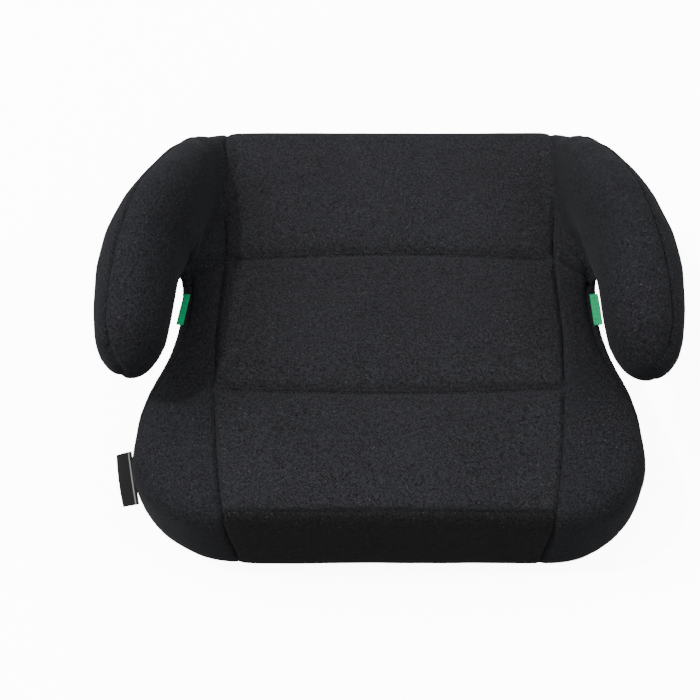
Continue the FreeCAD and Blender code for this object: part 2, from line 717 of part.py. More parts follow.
def main():
    """Build the document, check it and write one STEP file for each piece."""
    doc = FreeCAD.newDocument("booster_seat")
    nodes = make_nodes(doc)
    check(doc, nodes)
    os.makedirs(PARTS_FOLDER, exist_ok=True)
    for name, item in nodes.items():
        item.Label = name
        item.Shape.exportStep(os.path.join(PARTS_FOLDER, name + ".step"))
        print(f"{name}: {len(item.Shape.Solids)} solid(s), {item.Shape.Volume / 1000:.1f} cm3")


main()
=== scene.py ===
"""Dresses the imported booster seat: a sewn, padded cover over its moulded shell, on a pale floor."""

import json
import logging
import math
from dataclasses import dataclass, field
from enum import Enum
from typing import Callable, Iterable, Sequence

import bmesh
import bpy
import numpy as np
from mathutils import Matrix, Vector
from mathutils.bvhtree import BVHTree

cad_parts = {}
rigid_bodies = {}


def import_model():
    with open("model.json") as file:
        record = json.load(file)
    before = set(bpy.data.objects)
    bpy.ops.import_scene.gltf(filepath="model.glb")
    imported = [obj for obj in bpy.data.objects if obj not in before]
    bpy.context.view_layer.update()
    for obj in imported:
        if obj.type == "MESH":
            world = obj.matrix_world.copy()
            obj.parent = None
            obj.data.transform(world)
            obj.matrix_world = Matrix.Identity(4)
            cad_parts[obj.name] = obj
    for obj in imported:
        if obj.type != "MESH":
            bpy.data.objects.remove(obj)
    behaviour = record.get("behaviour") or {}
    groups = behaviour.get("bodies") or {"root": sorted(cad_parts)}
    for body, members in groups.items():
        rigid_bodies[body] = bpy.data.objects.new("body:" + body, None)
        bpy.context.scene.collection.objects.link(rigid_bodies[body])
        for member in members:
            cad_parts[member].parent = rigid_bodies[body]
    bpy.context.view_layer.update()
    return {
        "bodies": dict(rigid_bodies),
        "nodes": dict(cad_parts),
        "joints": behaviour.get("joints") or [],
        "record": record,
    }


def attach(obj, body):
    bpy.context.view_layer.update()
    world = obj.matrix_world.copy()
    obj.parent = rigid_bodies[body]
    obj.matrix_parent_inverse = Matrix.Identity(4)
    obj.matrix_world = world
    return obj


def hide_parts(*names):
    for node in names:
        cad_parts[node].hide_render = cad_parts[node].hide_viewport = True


LOG = logging.getLogger("booster")
MM = 0.001


class Slot(Enum):
    """The record's material slots, then the thread and the wall cloth, which have no slot of their own. The
    wall cloth is the seat cloth darkened: painted shade for the front and back walls.
    """

    SHELL = "moulded_shell"
    FOAM = "foam"
    SEAT = "seat_cloth"
    SIDE = "side_cloth"
    HEM = "hem_cloth"
    ELASTIC = "elastic"
    RIBBON = "green_ribbon"
    TAG = "tag_cloth"
    LABEL = "label_film"
    HOOK = "hook_plastic"

    THREAD = "thread"
    WALL = "wall_cloth"


class Side(Enum):
    """Left and right as seen from the front."""

    LEFT = -1
    RIGHT = 1


@dataclass(frozen=True)
class ArmSection:
    """One oval section of an arm: where it lies and its half width and half height, in millimetres."""

    y: float
    x: float
    z: float
    wide: float
    high: float


@dataclass(frozen=True)
class SeatPlan:
    """The seat's outline from above, in millimetres: wide nose, narrow waist, straight back."""

    half_depth: float = 170.0
    nose: float = 190.5
    waist: float = 161.0
    corner: float = 62.5
    flank: float = 140.0
    back: float = 35.0

    @property
    def turn(self) -> float:
        """How far each of the flank's two arcs turns, in radians."""
        return math.acos(1 - (self.nose - self.waist) / (2 * self.flank))

    def half(self, inset: float = 0.0) -> list[tuple[tuple[float, float], float, float, float]]:
        """The right half's arcs from front to back.

        Args:
            inset: how far the outline is drawn in.

        Returns:
            For each arc its centre, radius, start angle and end angle in radians.
        """
        nose_y = self.corner - self.half_depth
        waist_y = nose_y + 2 * self.flank * math.sin(self.turn)
        quarter = math.pi / 2
        return [
            ((self.nose - self.corner, nose_y), self.corner - inset, -quarter, 0.0),
            ((self.nose - self.flank, nose_y), self.flank - inset, 0.0, self.turn),
            ((self.waist + self.flank, waist_y), self.flank + inset, math.pi + self.turn, math.pi),
            ((self.waist - self.back, self.half_depth - self.back), max(self.back - inset, 1.0),
             0.0, quarter),
        ]

    def points(self, inset: float = 0.0, steps: int = 14) -> np.ndarray:
        """The closed outline as points, anticlockwise from the front.

        Args:
            inset: how far the outline is drawn in.
            steps: points on each arc.

        Returns:
            An array of x and y, in millimetres.
        """
        right = []
        for (cx, cy), radius, start, end in self.half(inset):
            for angle in np.linspace(start, end, steps):
                right.append((cx + radius * math.cos(angle), cy + radius * math.sin(angle)))
        left = [(-x, y) for x, y in reversed(right)]
        return np.array(right + left)

    def depth_inside(self, x: np.ndarray, y: np.ndarray) -> np.ndarray:
        """How far points lie inside the outline, in millimetres, negative outside."""
        ring = self.points(steps=24)
        a, b = ring, np.roll(ring, -1, axis=0)
        p = np.stack([x, y], -1)
        best = np.full(len(p), 1e9)
        inside = np.zeros(len(p), bool)
        for (ax, ay), (bx, by) in zip(a, b):
            dx, dy = bx - ax, by - ay
            span = dx * dx + dy * dy
            if span < 1e-9:
                continue
            t = np.clip(((p[:, 0] - ax) * dx + (p[:, 1] - ay) * dy) / span, 0, 1)
            best = np.minimum(best, np.hypot(p[:, 0] - ax - t * dx, p[:, 1] - ay - t * dy))
            if ay != by:
                crosses = (ay > p[:, 1]) != (by > p[:, 1])
                inside ^= crosses & (p[:, 0] < (bx - ax) * (p[:, 1] - ay) / (by - ay) + ax)
        return np.where(inside, best, -best)


def smooth(low: float, high: float, value: np.ndarray) -> np.ndarray:
    """A soft step from 0 at low to 1 at high."""
    t = np.clip((value - low) / (high - low), 0, 1)
    return t * t * (3 - 2 * t)


@dataclass(frozen=True)
class SeamLines:
    """Where the cover is sewn, in millimetres. Each line gives one coordinate from the others."""

    centre_y: tuple[float, ...] = (-175.0, -161.0, -146.0, -112.0, -62.0, -17.0, 18.0, 52.0, 100.0, 175.0)
    centre_x: tuple[float, ...] = (120.5, 121.7, 123.6, 127.7, 131.4, 132.0, 129.8, 127.2, 128.6, 130.5)
    arm_y: tuple[float, ...] = (-83, -80, -75, -67, -51, -19, 6, 41, 65, 85, 105, 125, 142, 160, 172)
    arm_x: tuple[float, ...] = (176, 186, 195, 200.5, 204.2, 201.4, 198, 191.2, 186, 179.5, 172, 163,
                                154.5, 146, 140)
    band_y: tuple[float, ...] = (-160.0, -146.0, -133.0, -118.0, -103.0, -85.0, -60.0, -30.0, 40.0)
    band_z: tuple[float, ...] = (0.0, 34.0, 58.0, 74.0, 87.0, 97.0, 102.0, 104.0, 104.0)
    arm_foot: float = 90.0
    arm_under: float = 120.0
    slot_end: float = 28.0

    def centre(self, y: np.ndarray, z: np.ndarray) -> np.ndarray:
        """Half the width between the two long seams; it draws in down the front wall."""
        drop = 6.5 * (1 - smooth(5, 100, z)) * smooth(100, 150, -y)
        return np.interp(y, self.centre_y, self.centre_x) - drop

    def rear_channel(self, x: np.ndarray) -> np.ndarray:
        """The rear quilted channel bows back in the middle."""
        return 55.5 - 5.5 * (x / 127.0) ** 2

    def front_channel(self, x: np.ndarray) -> np.ndarray:
        """The front quilted channel is nearly straight."""
        return -64.5 + 3.5 * (x / 130.0) ** 2

    def nose(self, x: np.ndarray) -> np.ndarray:
        """The plain seam along the front edge."""
        return -161.0 - 1.0 * (x / 120.0) ** 2

    def back(self, x: np.ndarray) -> np.ndarray:
        """The plain seam along the back edge."""
        return 171.6 + 0 * x

    def band(self, y: np.ndarray) -> np.ndarray:
        """The height of the seam between side panel and side band."""
        return np.interp(y, self.band_y, self.band_z)

    def arm(self, y: np.ndarray) -> np.ndarray:
        """How far out the seam along the arm lies, from the tip round to the back corner."""
        return np.interp(y, self.arm_y, self.arm_x)


class MeshTools:
    """Small steps that several pieces share."""

    @staticmethod
    def new_object(name: str, bm: bmesh.types.BMesh) -> bpy.types.Object:
        """Make an object at the origin from a bmesh, and free the bmesh."""
        mesh = bpy.data.meshes.new(name)
        bm.to_mesh(mesh)
        bm.free()
        obj = bpy.data.objects.new(name, mesh)
        bpy.context.scene.collection.objects.link(obj)
        return obj

    @staticmethod
    def read(obj: bpy.types.Object) -> bmesh.types.BMesh:
        """A bmesh with a copy of the object's mesh."""
        bm = bmesh.new()
        bm.from_mesh(obj.data)
        return bm

    @staticmethod
    def relax(bm: bmesh.types.BMesh, verts: list[bmesh.types.BMVert], factor: float) -> None:
        """Draw points towards the middle of their neighbours."""
        bmesh.ops.smooth_vert(bm, verts=verts, factor=factor, use_axis_x=True, use_axis_y=True,
                              use_axis_z=True)

    @staticmethod
    def write(bm: bmesh.types.BMesh, obj: bpy.types.Object) -> None:
        """Put a bmesh into the object's mesh, and free it."""
        bm.to_mesh(obj.data)
        bm.free()

    @staticmethod
    def coords(mesh: bpy.types.Mesh) -> np.ndarray:
        """The mesh's points in millimetres."""
        flat = np.empty(len(mesh.vertices) * 3)
        mesh.vertices.foreach_get("co", flat)
        return flat.reshape(-1, 3) / MM

    @staticmethod
    def put_coords(mesh: bpy.types.Mesh, points: np.ndarray) -> None:
        """Move the mesh's points to these places, in millimetres."""
        mesh.vertices.foreach_set("co", (points * MM).ravel())
        mesh.update()

    @staticmethod
    def centres(mesh: bpy.types.Mesh) -> np.ndarray:
        """The middles of the mesh's faces, in millimetres."""
        flat = np.empty(len(mesh.polygons) * 3)
        mesh.polygons.foreach_get("center", flat)
        return flat.reshape(-1, 3) / MM

    @staticmethod
    def normals(mesh: bpy.types.Mesh) -> np.ndarray:
        """The mesh's point normals."""
        flat = np.empty(len(mesh.vertices) * 3)
        mesh.vertex_normals.foreach_get("vector", flat)
        return flat.reshape(-1, 3)

    @staticmethod
    def apply(obj: bpy.types.Object) -> None:
        """Apply every modifier of the object to its mesh."""
        graph = bpy.context.evaluated_depsgraph_get()
        done = bpy.data.meshes.new_from_object(obj.evaluated_get(graph))
        old = obj.data
        obj.modifiers.clear()
        obj.data = done
        bpy.data.meshes.remove(old)

    @staticmethod
    def shade_smooth(obj: bpy.types.Object) -> None:
        """Shade every face of the object smooth."""
        obj.data.polygons.foreach_set("use_smooth", [True] * len(obj.data.polygons))
        obj.data.update()

    @staticmethod
    def drop(obj: bpy.types.Object) -> None:
        """Remove an object and its mesh."""
        mesh = obj.data
        bpy.data.objects.remove(obj)
        bpy.data.meshes.remove(mesh)

    @staticmethod
    def finish(obj: bpy.types.Object, body: str, slot: Slot, finish: bpy.types.Material,
               nodes: Iterable[str] = ()) -> bpy.types.Object:
        """Give a piece its finish, its body and the nodes it stands for.

        Args:
            obj: the piece.
            body: the body it rides on.
            slot: the record's material slot; not used.
            finish: the material.
            nodes: the CAD nodes it replaces.

        Returns:
            The piece.
        """
        obj.data.materials.clear()
        obj.data.materials.append(finish)
        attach(obj, body)
        if nodes:
            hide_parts(*nodes)
        LOG.info("%s: %d faces", obj.name, len(obj.data.polygons))
        return obj


@dataclass
class DressedForm:
    """The outside of the dressed seat before it is cut into panels: one padded, inflated skin."""

    plan: SeatPlan = field(default_factory=SeatPlan)
    seams: SeamLines = field(default_factory=SeamLines)
    low: float = 3.5
    top: float = 108.5
    top_round: float = 19.0
    foot_round: float = 23.0
    hem_reach: float = 32.0
    hem_rise: float = 16.0
    voxel: float = 5.5
    start_inset: float = -0.4
    arm_inset: float = -1.7
    swell_cap: float = 5.0
    swell_frames: int = 20
    rear_fuller: float = 3.4
    rear_higher: float = 2.6
    corner_lift: float = 3.0
    corner_pull: tuple[float, float] = (7.0, 3.0)
    flank_fuller: float = 2.6
    shoulder_fuller: float = 1.6
    inner_slimmer: float = 2.6
    tip_shorter: float = 1.6
    sections: tuple[ArmSection, ...] = (
        ArmSection(166.0, 140.0, 62.0, 9.0, 18.0),
        ArmSection(160.0, 144.0, 70.0, 14.5, 29.0),
        ArmSection(145.0, 149.5, 83.0, 20.5, 47.0),
        ArmSection(120.0, 157.0, 103.0, 26.0, 56.5),
        ArmSection(92.0, 164.5, 126.0, 28.0, 57.5),
        ArmSection(62.0, 173.0, 146.0, 29.5, 54.5),
        ArmSection(30.0, 181.0, 157.0, 30.5, 51.0),
        ArmSection(0.0, 184.3, 169.0, 29.7, 40.0),
        ArmSection(-30.0, 185.2, 169.0, 28.6, 37.0),
        ArmSection(-55.0, 186.3, 166.0, 26.0, 32.5),
        ArmSection(-68.0, 187.3, 163.0, 20.5, 25.5),
        ArmSection(-76.0, 187.5, 161.5, 13.5, 16.5),
        ArmSection(-79.0, 187.5, 161.0, 6.0, 8.0),
    )

    def block(self) -> bmesh.types.BMesh:
        """The seat without its arms: the outline filled and raised, its rims rounded, its foot drawn in."""
        bm = bmesh.new()
        ring = [bm.verts.new((x * MM, y * MM, self.low * MM)) for x, y in self.plan.points(self.start_inset)]
        bmesh.ops.remove_doubles(bm, verts=bm.verts[:], dist=0.3 * MM)
        ring = [v for v in ring if v.is_valid]
        floor = bm.faces.new(ring)
        raised = bmesh.ops.extrude_face_region(bm, geom=[floor])
        lifted = [v for v in raised["geom"] if isinstance(v, bmesh.types.BMVert)]
        bmesh.ops.translate(bm, verts=lifted, vec=(0, 0, (self.top - self.low) * MM))
        bmesh.ops.recalc_face_normals(bm, faces=bm.faces[:])
        for at_top, width in ((True, self.top_round), (False, self.foot_round)):
            level = (self.top if at_top else self.low) * MM
            rim = [e for e in bm.edges if all(abs(v.co.z - level) < 1e-5 for v in e.verts)]
            bmesh.ops.bevel(bm, geom=rim, offset=width * MM, segments=6, profile=0.5, affect="EDGES",
                            material=-1)
        under = min(bm.faces, key=lambda f: f.calc_center_median().z)
        bmesh.ops.inset_region(bm, faces=[under], thickness=(self.hem_reach - self.foot_round) * MM)
        under = min((f for f in bm.faces if len(f.verts) > 12), key=lambda f: f.calc_center_median().z)
        raised = bmesh.ops.extrude_face_region(bm, geom=[under])
        lifted = [v for v in raised["geom"] if isinstance(v, bmesh.types.BMVert)]
        bmesh.ops.delete(bm, geom=[under], context="FACES_ONLY")
        bmesh.ops.translate(bm, verts=lifted, vec=(0, 0, self.hem_rise * MM))
        return bm

    def arms(self) -> bmesh.types.BMesh:
        """The right arm, bridged through its oval sections, and its mirror."""
        bm = bmesh.new()
        rings = []
        upright = Matrix.Rotation(math.radians(90), 4, "X")
        for section in self.sections:
            wide = section.wide - self.arm_inset
            high = section.high - self.arm_inset
            place = Matrix.Translation(Vector((section.x, section.y, section.z)) * MM)
            size = Matrix.Diagonal((wide * MM, 1, high * MM, 1))
            made = bmesh.ops.create_circle(bm, cap_ends=False, segments=32, radius=1.0,
                                           matrix=place @ size @ upright)
            verts = set(made["verts"])
            rings.append([e for e in bm.edges if e.verts[0] in verts and e.verts[1] in verts])
        for first, second in zip(rings, rings[1:]):
            bmesh.ops.bridge_loops(bm, edges=first + second)
        for ring in (rings[0], rings[-1]):
            bmesh.ops.contextual_create(bm, geom=ring)
        bmesh.ops.recalc_face_normals(bm, faces=bm.faces[:])
        bmesh.ops.mirror(bm, geom=bm.verts[:] + bm.edges[:] + bm.faces[:], axis="X", merge_dist=-1.0)
        bmesh.ops.recalc_face_normals(bm, faces=bm.faces[:])
        return bm

    def hull(self) -> bpy.types.Object:
        """Block and arms as one closed skin of even quads, with the arms blended into the seat."""
        block = MeshTools.new_object("cover_form", self.block())
        arms = MeshTools.new_object("arm_form", self.arms())
        bm = MeshTools.read(block)
        bm.from_mesh(arms.data)
        MeshTools.drop(arms)
        MeshTools.write(bm, block)
        remesh = block.modifiers.new("even_skin", "REMESH")
        remesh.mode = "VOXEL"
        remesh.voxel_size = self.voxel * MM
        MeshTools.apply(block)
        self.blend_roots(block)
        self.settle(block)
        return block

    def settle(self, obj: bpy.types.Object) -> None:
        """Give the form its full rear edge, and its lower front corners, which differ left and right."""
        p = MeshTools.coords(obj.data)
        x, y, z = p.T
        rear = smooth(95, 165, y) * smooth(45, 95, z)
        p[:, 1] += self.rear_fuller * rear
        p[:, 2] += self.rear_higher * smooth(85, 150, y) * smooth(70, 105, z)
        corner = smooth(124, 140, np.abs(x)) * (1 - smooth(160, 185, np.abs(x))) * smooth(120, 155, y)
        p[:, 2] += self.corner_lift * corner * smooth(60, 95, z)
        low = 1 - smooth(8, 62, z)
        left = smooth(95, 165, -x) * smooth(70, 150, -y) * low
        right = smooth(95, 165, x) * smooth(95, 150, -y) * low
        for corner, pull in zip((left, right), self.corner_pull):
            p[:, 0] -= np.sign(x) * 0.75 * pull * corner
            p[:, 1] += 0.55 * pull * corner
        flank = smooth(135, 175, np.abs(x)) * smooth(95, 125, -y) * (1 - smooth(150, 168, -y))
        flank *= smooth(10, 35, z)
        p[:, 0] += self.flank_fuller * np.sign(x) * flank * (1 - smooth(75, 105, z))
        shoulder = smooth(150, 190, x) * smooth(40, 80, y) * smooth(100, 140, z)
        p[:, 0] += self.shoulder_fuller * shoulder
        inner = (1 - smooth(165, 195, -x)) * smooth(120, 140, -x) * (1 - smooth(20, 45, y))
        inner *= smooth(122, 132, z)
        p[:, 0] -= self.inner_slimmer * inner
        tip = smooth(130, 150, -x) * smooth(40, 78, -y) * smooth(122, 132, z)
        p[:, 1] += self.tip_shorter * tip
        MeshTools.put_coords(obj.data, p)

    def blend_roots(self, obj: bpy.types.Object) -> None:
        """Soften the crease where each arm grows out of the seat, and take the voxel steps off the rest."""
        bm = MeshTools.read(obj)
        MeshTools.relax(bm, bm.verts[:], 0.5)
        root = [
            v for v in bm.verts
            if abs(v.co.x) > 126 * MM and 40 * MM < v.co.y < 172 * MM and 70 * MM < v.co.z < 150 * MM
        ]
        for _ in range(10):
            MeshTools.relax(bm, root, 0.5)
        MeshTools.relax(bm, bm.verts[:], 0.4)
        MeshTools.write(bm, obj)

    def seam_distance(self, p: np.ndarray) -> dict[str, np.ndarray]:
        """How far points lie from each seam, signed, in millimetres, and far away where the seam isn't.

        Args:
            p: the points, in millimetres.

        Returns:
            The distances by the seam's name.
        """
        x, y, z = p.T
        side = np.abs(x)
        far = 200.0
        centre = side - self.seams.centre(y, z)
        inside = centre < 3.0
        upper = z > 60.0
        on_seat = z < 118.0
        d = {"centre": np.where(on_seat | (y > 150), centre, far)}
        d["rear_channel"] = np.where(inside & upper, y - self.seams.rear_channel(x), far)
        d["front_channel"] = np.where(inside & upper, y - self.seams.front_channel(x), far)
        d["nose"] = np.where(inside & upper & (y < -120), y - self.seams.nose(x), far)
        d["back"] = np.where(inside & upper & (y > 120), y - self.seams.back(x), far)
        flank = (centre > 10.0) & (y < 30.0) & (z < 112.0)
        d["band"] = np.where(flank, z - self.seams.band(y), far)
        arm = (side > 130.0) & ((z > 122.0) | (z > 92.0) & (y > 20.0))
        slope = np.where(y < -66, 0.6, 1.0)
        d["arm"] = np.where(arm, slope * (side - self.seams.arm(y)), far)
        return d

    def swell(self, obj: bpy.types.Object) -> None:
        """Inflate the skin like a padded cover held at its seams, and keep the swelling within its cap."""
        before = MeshTools.coords(obj.data)
        near = np.min(np.abs(np.stack(list(self.seam_distance(before).values()))), axis=0)
        hold = 1 - smooth(2.0, 16.0, near)
        hold = np.maximum(hold, 1 - smooth(8.0, 24.0, before[:, 2]))
        group = obj.vertex_groups.new(name="sewn")
        for level in range(1, 11):
            picked = np.nonzero(np.round(hold * 10) == level)[0]
            if len(picked):
                group.add(picked.tolist(), level / 10, "REPLACE")
        cloth = obj.modifiers.new("padding", "CLOTH")
        cloth.settings.quality = 6
        cloth.settings.use_pressure = True
        cloth.settings.uniform_pressure_force = 4.0
        cloth.settings.effector_weights.gravity = 0
        cloth.settings.vertex_group_mass = "sewn"
        cloth.settings.pin_stiffness = 0.6
        cloth.settings.tension_stiffness = 18
        cloth.settings.compression_stiffness = 18
        cloth.point_cache.frame_start = 1
        cloth.point_cache.frame_end = self.swell_frames
        scene = bpy.context.scene
        for frame in range(1, self.swell_frames + 1):
            scene.frame_set(frame)
        MeshTools.apply(obj)
        scene.frame_set(1)
        after = MeshTools.coords(obj.data)
        move = after - before
        length = np.linalg.norm(move, axis=1)
        cap = self.swell_cap * (1 - 0.85 * hold)
        move *= (cap * np.tanh(length / np.maximum(cap, 0.01)) / np.maximum(length, 1e-6))[:, None]
        MeshTools.put_coords(obj.data, before + move)

    def refine(self, obj: bpy.types.Object) -> bpy.types.Object:
        """Subdivide the skin twice, finely enough for seams and creases."""
        fine = obj.modifiers.new("fine", "SUBSURF")
        fine.levels = fine.render_levels = 2
        MeshTools.apply(obj)
        return obj

    def padded_hull(self) -> bpy.types.Object:
        """The whole skin with its padding swollen, ready to be refined, creased and cut."""
        obj = self.hull()
        LOG.info("skin: %d points before the padding", len(obj.data.vertices))
        self.swell(obj)
        return obj


@dataclass
class Needlework:
    """Draws the skin in at its seams, channels and creases."""

    form: DressedForm
    seams: tuple[tuple[str, float, float, float], ...] = (
        ("centre", 2.8, 1.8, 0.7), ("nose", 1.9, 1.8, 0.5), ("back", 1.2, 1.9, 0.3), ("band", 2.4, 1.6, 0.5),
        ("arm", 2.4, 1.35, 0.15),
    )
    roll_width: float = 8.0
    channel_depth: float = 5.4
    channel_width: float = 4.0

    def sink(self, p: np.ndarray) -> np.ndarray:
        """How deep each point is drawn in, in millimetres."""
        d = self.form.seam_distance(p)
        depth = np.zeros(len(p))
        for name, deep, width, roll in self.seams:
            gap = np.abs(d[name])
            valley = deep * np.exp(-((gap / width) ** 2)) + roll * np.exp(-((gap / self.roll_width) ** 2))
            depth = np.maximum(depth, valley)
        for name in ("rear_channel", "front_channel"):
            gap = np.abs(d[name])
            bed = np.exp(-((gap / self.channel_width) ** 2))
            roll = np.exp(-((gap / (2.6 * self.channel_width)) ** 2))
            depth = np.maximum(depth, self.channel_depth * 0.7 * bed + self.channel_depth * 0.3 * roll)
        low = 1 - 0.75 * (1 - smooth(14, 40, p[:, 2]))
        rear = 1 - 0.6 * smooth(140, 165, p[:, 1])
        tip = 1 - 0.7 * smooth(68, 80, -p[:, 1]) * smooth(120, 128, p[:, 2])
        return depth * low * rear * tip

    def creases(self, p: np.ndarray) -> np.ndarray:
        """Gathers that fan out from the closed end of each belt slot, in millimetres inwards."""
        depth = np.zeros(len(p))
        fans = {
            Side.LEFT: ((36.0, 46.0, 4.6), (54.0, 32.0, 2.8), (88.0, 32.0, 1.8)),
            Side.RIGHT: ((135.0, 54.0, 4.6), (110.0, 42.0, 2.8), (92.0, 28.0, 1.8)),
        }
        for side, folds in fans.items():
            root = np.array([side.value * 155.0, 31.0])
            for angle, reach, deep in folds:
                turn = math.radians(angle)
                way = np.array([math.cos(turn), math.sin(turn)])
                rel = p[:, :2] - root
                along = rel @ way
                across = rel @ np.array([-way[1], way[0]]) - 0.03 * along * (along / reach)
                width = 1.5 + 0.05 * np.clip(along, 0, None)
                fade = smooth(-4, 4, along) * (1 - smooth(reach * 0.45, reach, along))
                near = (np.sign(p[:, 0]) == side.value) * smooth(88, 96, p[:, 2])
                near = near * (1 - smooth(128, 150, p[:, 2]))
                ridge = np.exp(-(((across - 2.6 * width) / (1.6 * width)) ** 2))
                fold = np.exp(-((across / width) ** 2)) - 0.5 * ridge
                depth += near * deep * fade * fold
        return 4.2 * np.tanh(depth / 4.2)

    def hem_gathers(self, p: np.ndarray) -> np.ndarray:
        """Small gathers where the elastic draws the hem in under the seat."""
        x, y, z = p.T
        around = np.arctan2(y, x)
        wave = 0.6 * np.sin(around * 96) + 0.4 * np.sin(around * 57 + 1.3) + 0.35 * np.sin(around * 31 + 0.4)
        low = np.nonzero(z < 26.0)[0]
        inboard = np.zeros(len(p))
        inboard[low] = smooth(2, 26, self.form.plan.depth_inside(x[low], y[low]))
        return 1.1 * wave * inboard * (1 - smooth(8, 26, z))

    def lived_in(self, p: np.ndarray) -> np.ndarray:
        """Very slow unevenness of padding under cloth."""
        x, y, z = p.T
        a = np.sin(x / 31.0 + 0.7) * np.sin(y / 27.0 + z / 40.0)
        b = np.sin(x / 17.0 - y / 23.0 + 2.1) * np.sin(z / 19.0 + 0.5)
        c = np.sin((x + y) / 11.0) * np.sin((x - y + z) / 13.0)
        return 0.35 * a + 0.22 * b + 0.1 * c

    def work(self, obj: bpy.types.Object) -> None:
        """Draw the skin in wherever it is sewn or gathered."""
        p = MeshTools.coords(obj.data)
        n = MeshTools.normals(obj.data)
        depth = self.sink(p) + self.creases(p) + self.hem_gathers(p) + self.lived_in(p)
        MeshTools.put_coords(obj.data, p - n * depth[:, None])


Line = Callable[[np.ndarray], np.ndarray]


@dataclass(frozen=True)
class Cutter:
    """Cuts a skin along a curved seam: its points are moved until the seam is flat, and back after."""

    skin: bpy.types.Object

    def cut(self, axis: int, seam: Line, chosen: Line) -> None:
        """Cut some of the skin's faces along a seam.

        Args:
            axis: the coordinate that the seam gives.
            seam: the seam's place on that axis, from the points' other two coordinates.
            chosen: which faces are cut, from their middles.
        """
        mesh = self.skin.data
        mesh.polygons.foreach_set("select", chosen(MeshTools.centres(mesh)))
        flat = MeshTools.coords(mesh)
        flat[:, axis] -= seam(flat)
        MeshTools.put_coords(mesh, flat)
        bm = MeshTools.read(self.skin)
        faces = [f for f in bm.faces if f.select]
        geom = set(faces)
        for f in faces:
            geom.update(f.edges)
            geom.update(f.verts)
        normal = Vector((0, 0, 0))
        normal[axis] = 1.0
        bmesh.ops.bisect_plane(bm, geom=list(geom), dist=0.02 * MM, plane_co=(0, 0, 0), plane_no=normal)
        bm.to_mesh(mesh)
        bm.free()
        bent = MeshTools.coords(mesh)
        bent[:, axis] += seam(bent)
        MeshTools.put_coords(mesh, bent)


def turn_in_edges(panel: bpy.types.Object, lip: float = 2.4) -> None:
    """Give a panel a seam allowance that is turned inwards along all its edges.

    Args:
        panel: the panel, one open skin.
        lip: the width of the seam allowance, in millimetres.
    """
    bm = MeshTools.read(panel)
    bm.normal_update()
    rim = [e for e in bm.edges if e.is_boundary]
    outward = {v: v.normal.copy() for e in rim for v in e.verts}
    turned = bmesh.ops.extrude_edge_only(bm, edges=rim)
    for v in turned["geom"]:
        if isinstance(v, bmesh.types.BMVert):
            at_rim = next(e.other_vert(v) for e in v.link_edges if e.other_vert(v) in outward)
            v.co -= outward[at_rim] * lip * MM
    MeshTools.write(bm, panel)


